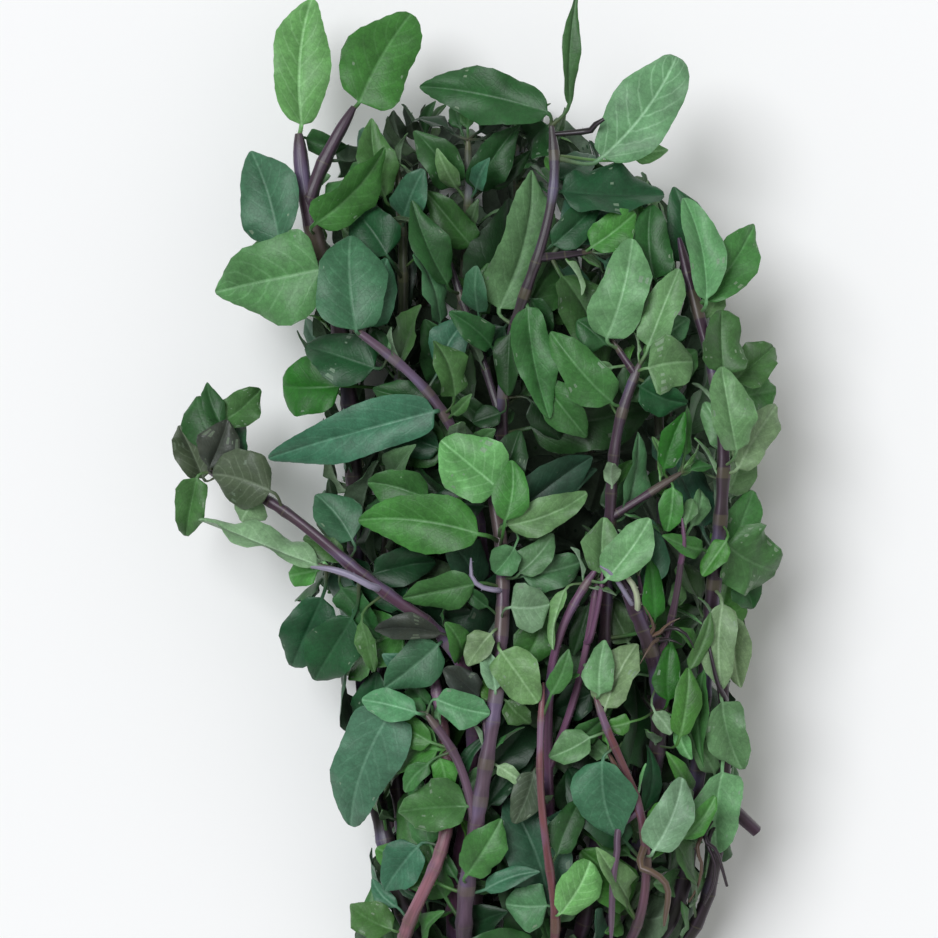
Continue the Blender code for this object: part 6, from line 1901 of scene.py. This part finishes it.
class StalkSettings(bpy.types.PropertyGroup):
    """Colours and finish of the stalks."""

    for look, colour in STALK_COLOURS.items():
        __annotations__[look] = colour_property(
            f"{look.capitalize()} stalks", "Colour of their skin", colour)
    gloss: bpy.props.FloatProperty(
        name="Stalk roughness", description="0 is shiny, 1 is matt", subtype="FACTOR",
        min=0.05, max=1.0, default=0.36)


class StageSettings(bpy.types.PropertyGroup):
    """Table and light."""

    table: colour_property("Table", "Colour of the table", "F8F8F6")
    table_size: bpy.props.FloatProperty(
        name="Table size", description="Length of the table's sides", unit="LENGTH",
        min=0.5, default=6.0)
    key: bpy.props.FloatProperty(
        name="Key light", description="Strength of the large soft light", min=0.0,
        default=2.4)
    fill: bpy.props.FloatProperty(
        name="Fill light", description="Strength of the soft light opposite", min=0.0,
        default=0.3)
    sky: bpy.props.FloatProperty(
        name="Room light", description="Strength of the light from all sides", min=0.0,
        default=0.36)


class MINT_OT_stalks(bpy.types.Operator):
    """Grow the fine stalk of every stem"""

    bl_idname = "mint.stalks"
    bl_label = "Grow stalks"

    def execute(self, context):
        stems, leaves, small, _ = whole_bunch()
        rng = random.Random(SEED + 6)
        for stem in stems:
            stem.colours = STALKS.get(stem.name, PLAIN_STALK)
        stalks = stems + list(strands(stems))
        for name, *_ in STEMS:
            growth = Growth()
            for stem in stalks:
                if stem.name == name:
                    add_stalk(growth, stem, leaves + small, rng, context.scene.mint_stalks)
            obj = growth.piece(name + "_stalk", plant_materials())
            finish_piece(obj, name)
        return {"FINISHED"}


class MINT_OT_leaves(bpy.types.Operator):
    """Grow every leaf on its stem"""

    bl_idname = "mint.leaves"
    bl_label = "Grow leaves"

    def execute(self, context):
        _, leaves, small, closing = whole_bunch()
        rng = random.Random(SEED + 7)
        growths = {name: Growth() for name, *_ in STEMS}
        for number, leaf in enumerate(leaves + small + closing):
            add_leaf(growths[leaf.stem.name], leaf, number, rng, context.scene.mint_leaves)
        for name, growth in growths.items():
            obj = growth.piece(name + "_leaves", plant_materials())
            finish_piece(obj, name)
        return {"FINISHED"}


class MINT_OT_stage(bpy.types.Operator):
    """Set the table, the soft lights and the camera"""

    bl_idname = "mint.stage"
    bl_label = "Set the stage"

    def execute(self, context):
        settings = context.scene.mint_stage
        half = settings.table_size / 2
        mesh = bpy.data.meshes.new("table")
        mesh.from_pydata([(-half, -half, 0), (half, -half, 0), (half, half, 0), (-half, half, 0)],
                         [], [(0, 1, 2, 3)])
        mesh.materials.append(plain_table(settings.table))
        table = bpy.data.objects.new("table", mesh)
        context.scene.collection.objects.link(table)
        table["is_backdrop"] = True
        for name, strength, spread, place, colour in (
                ("key", settings.key, 34, (-0.45, 0.35, 1.0), "F8FAFF"),
                ("fill", settings.fill, 80, (0.8, -0.5, 0.9), "FFFAF2")):
            light = bpy.data.lights.new(name, "SUN")
            light.energy = strength
            light.angle = math.radians(spread)
            light.color = linear(colour)[:3]
            lamp = bpy.data.objects.new(name, light)
            lamp.rotation_euler = (-Vector(place)).to_track_quat("-Z", "Y").to_euler()
            context.scene.collection.objects.link(lamp)
        world = bpy.data.worlds.new("room")
        world.use_nodes = True
        background = world.node_tree.nodes["Background"]
        background.inputs["Color"].default_value = linear("F8F9FB")
        background.inputs["Strength"].default_value = settings.sky
        context.scene.world = world
        lens = bpy.data.cameras.new("camera")
        lens.sensor_fit = "HORIZONTAL"
        lens.angle = 2 * math.atan(PHOTO_MIDDLE * MM_PER_PX / (EYE_HEIGHT - SCALE_HEIGHT))
        camera = bpy.data.objects.new("camera", lens)
        camera.location = (Vector((0.0, 0.0, EYE_HEIGHT)) - BOX_MIDDLE) * MM
        context.scene.collection.objects.link(camera)
        context.scene.camera = camera
        context.scene.view_settings.view_transform = "Standard"
        return {"FINISHED"}


class MINT_PT_panel(bpy.types.Panel):
    """The steps that make the bunch, and their sizes and colours"""

    bl_label = "Mint bunch"
    bl_idname = "MINT_PT_panel"
    bl_space_type = "VIEW_3D"
    bl_region_type = "UI"
    bl_category = "Mint"

    def draw(self, context):
        for group, operator in STEPS:
            settings = getattr(context.scene, group)
            for label in settings.__annotations__:
                self.layout.prop(settings, label)
            self.layout.operator(operator)


SETTINGS = {"mint_stalks": StalkSettings, "mint_leaves": LeafSettings,
            "mint_stage": StageSettings}
STEPS = (("mint_stalks", "mint.stalks"), ("mint_leaves", "mint.leaves"),
         ("mint_stage", "mint.stage"))
CLASSES = (*SETTINGS.values(), MINT_OT_stalks, MINT_OT_leaves, MINT_OT_stage, MINT_PT_panel)


def register():
    for added in CLASSES:
        bpy.utils.register_class(added)
    for label, group in SETTINGS.items():
        setattr(bpy.types.Scene, label, bpy.props.PointerProperty(type=group))


def unregister():
    for label in SETTINGS:
        delattr(bpy.types.Scene, label)
    for added in reversed(CLASSES):
        bpy.utils.unregister_class(added)


def main():
    register()
    bpy.ops.mint.stalks()
    bpy.ops.mint.leaves()
    bpy.ops.mint.stage()
    boxes = {"solids": SOLID_BOX, "visual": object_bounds()}
    ({label: [[float(x) for x in corner] for corner in box]
               for label, box in boxes.items()})


if __name__ == "__main__":
    main()
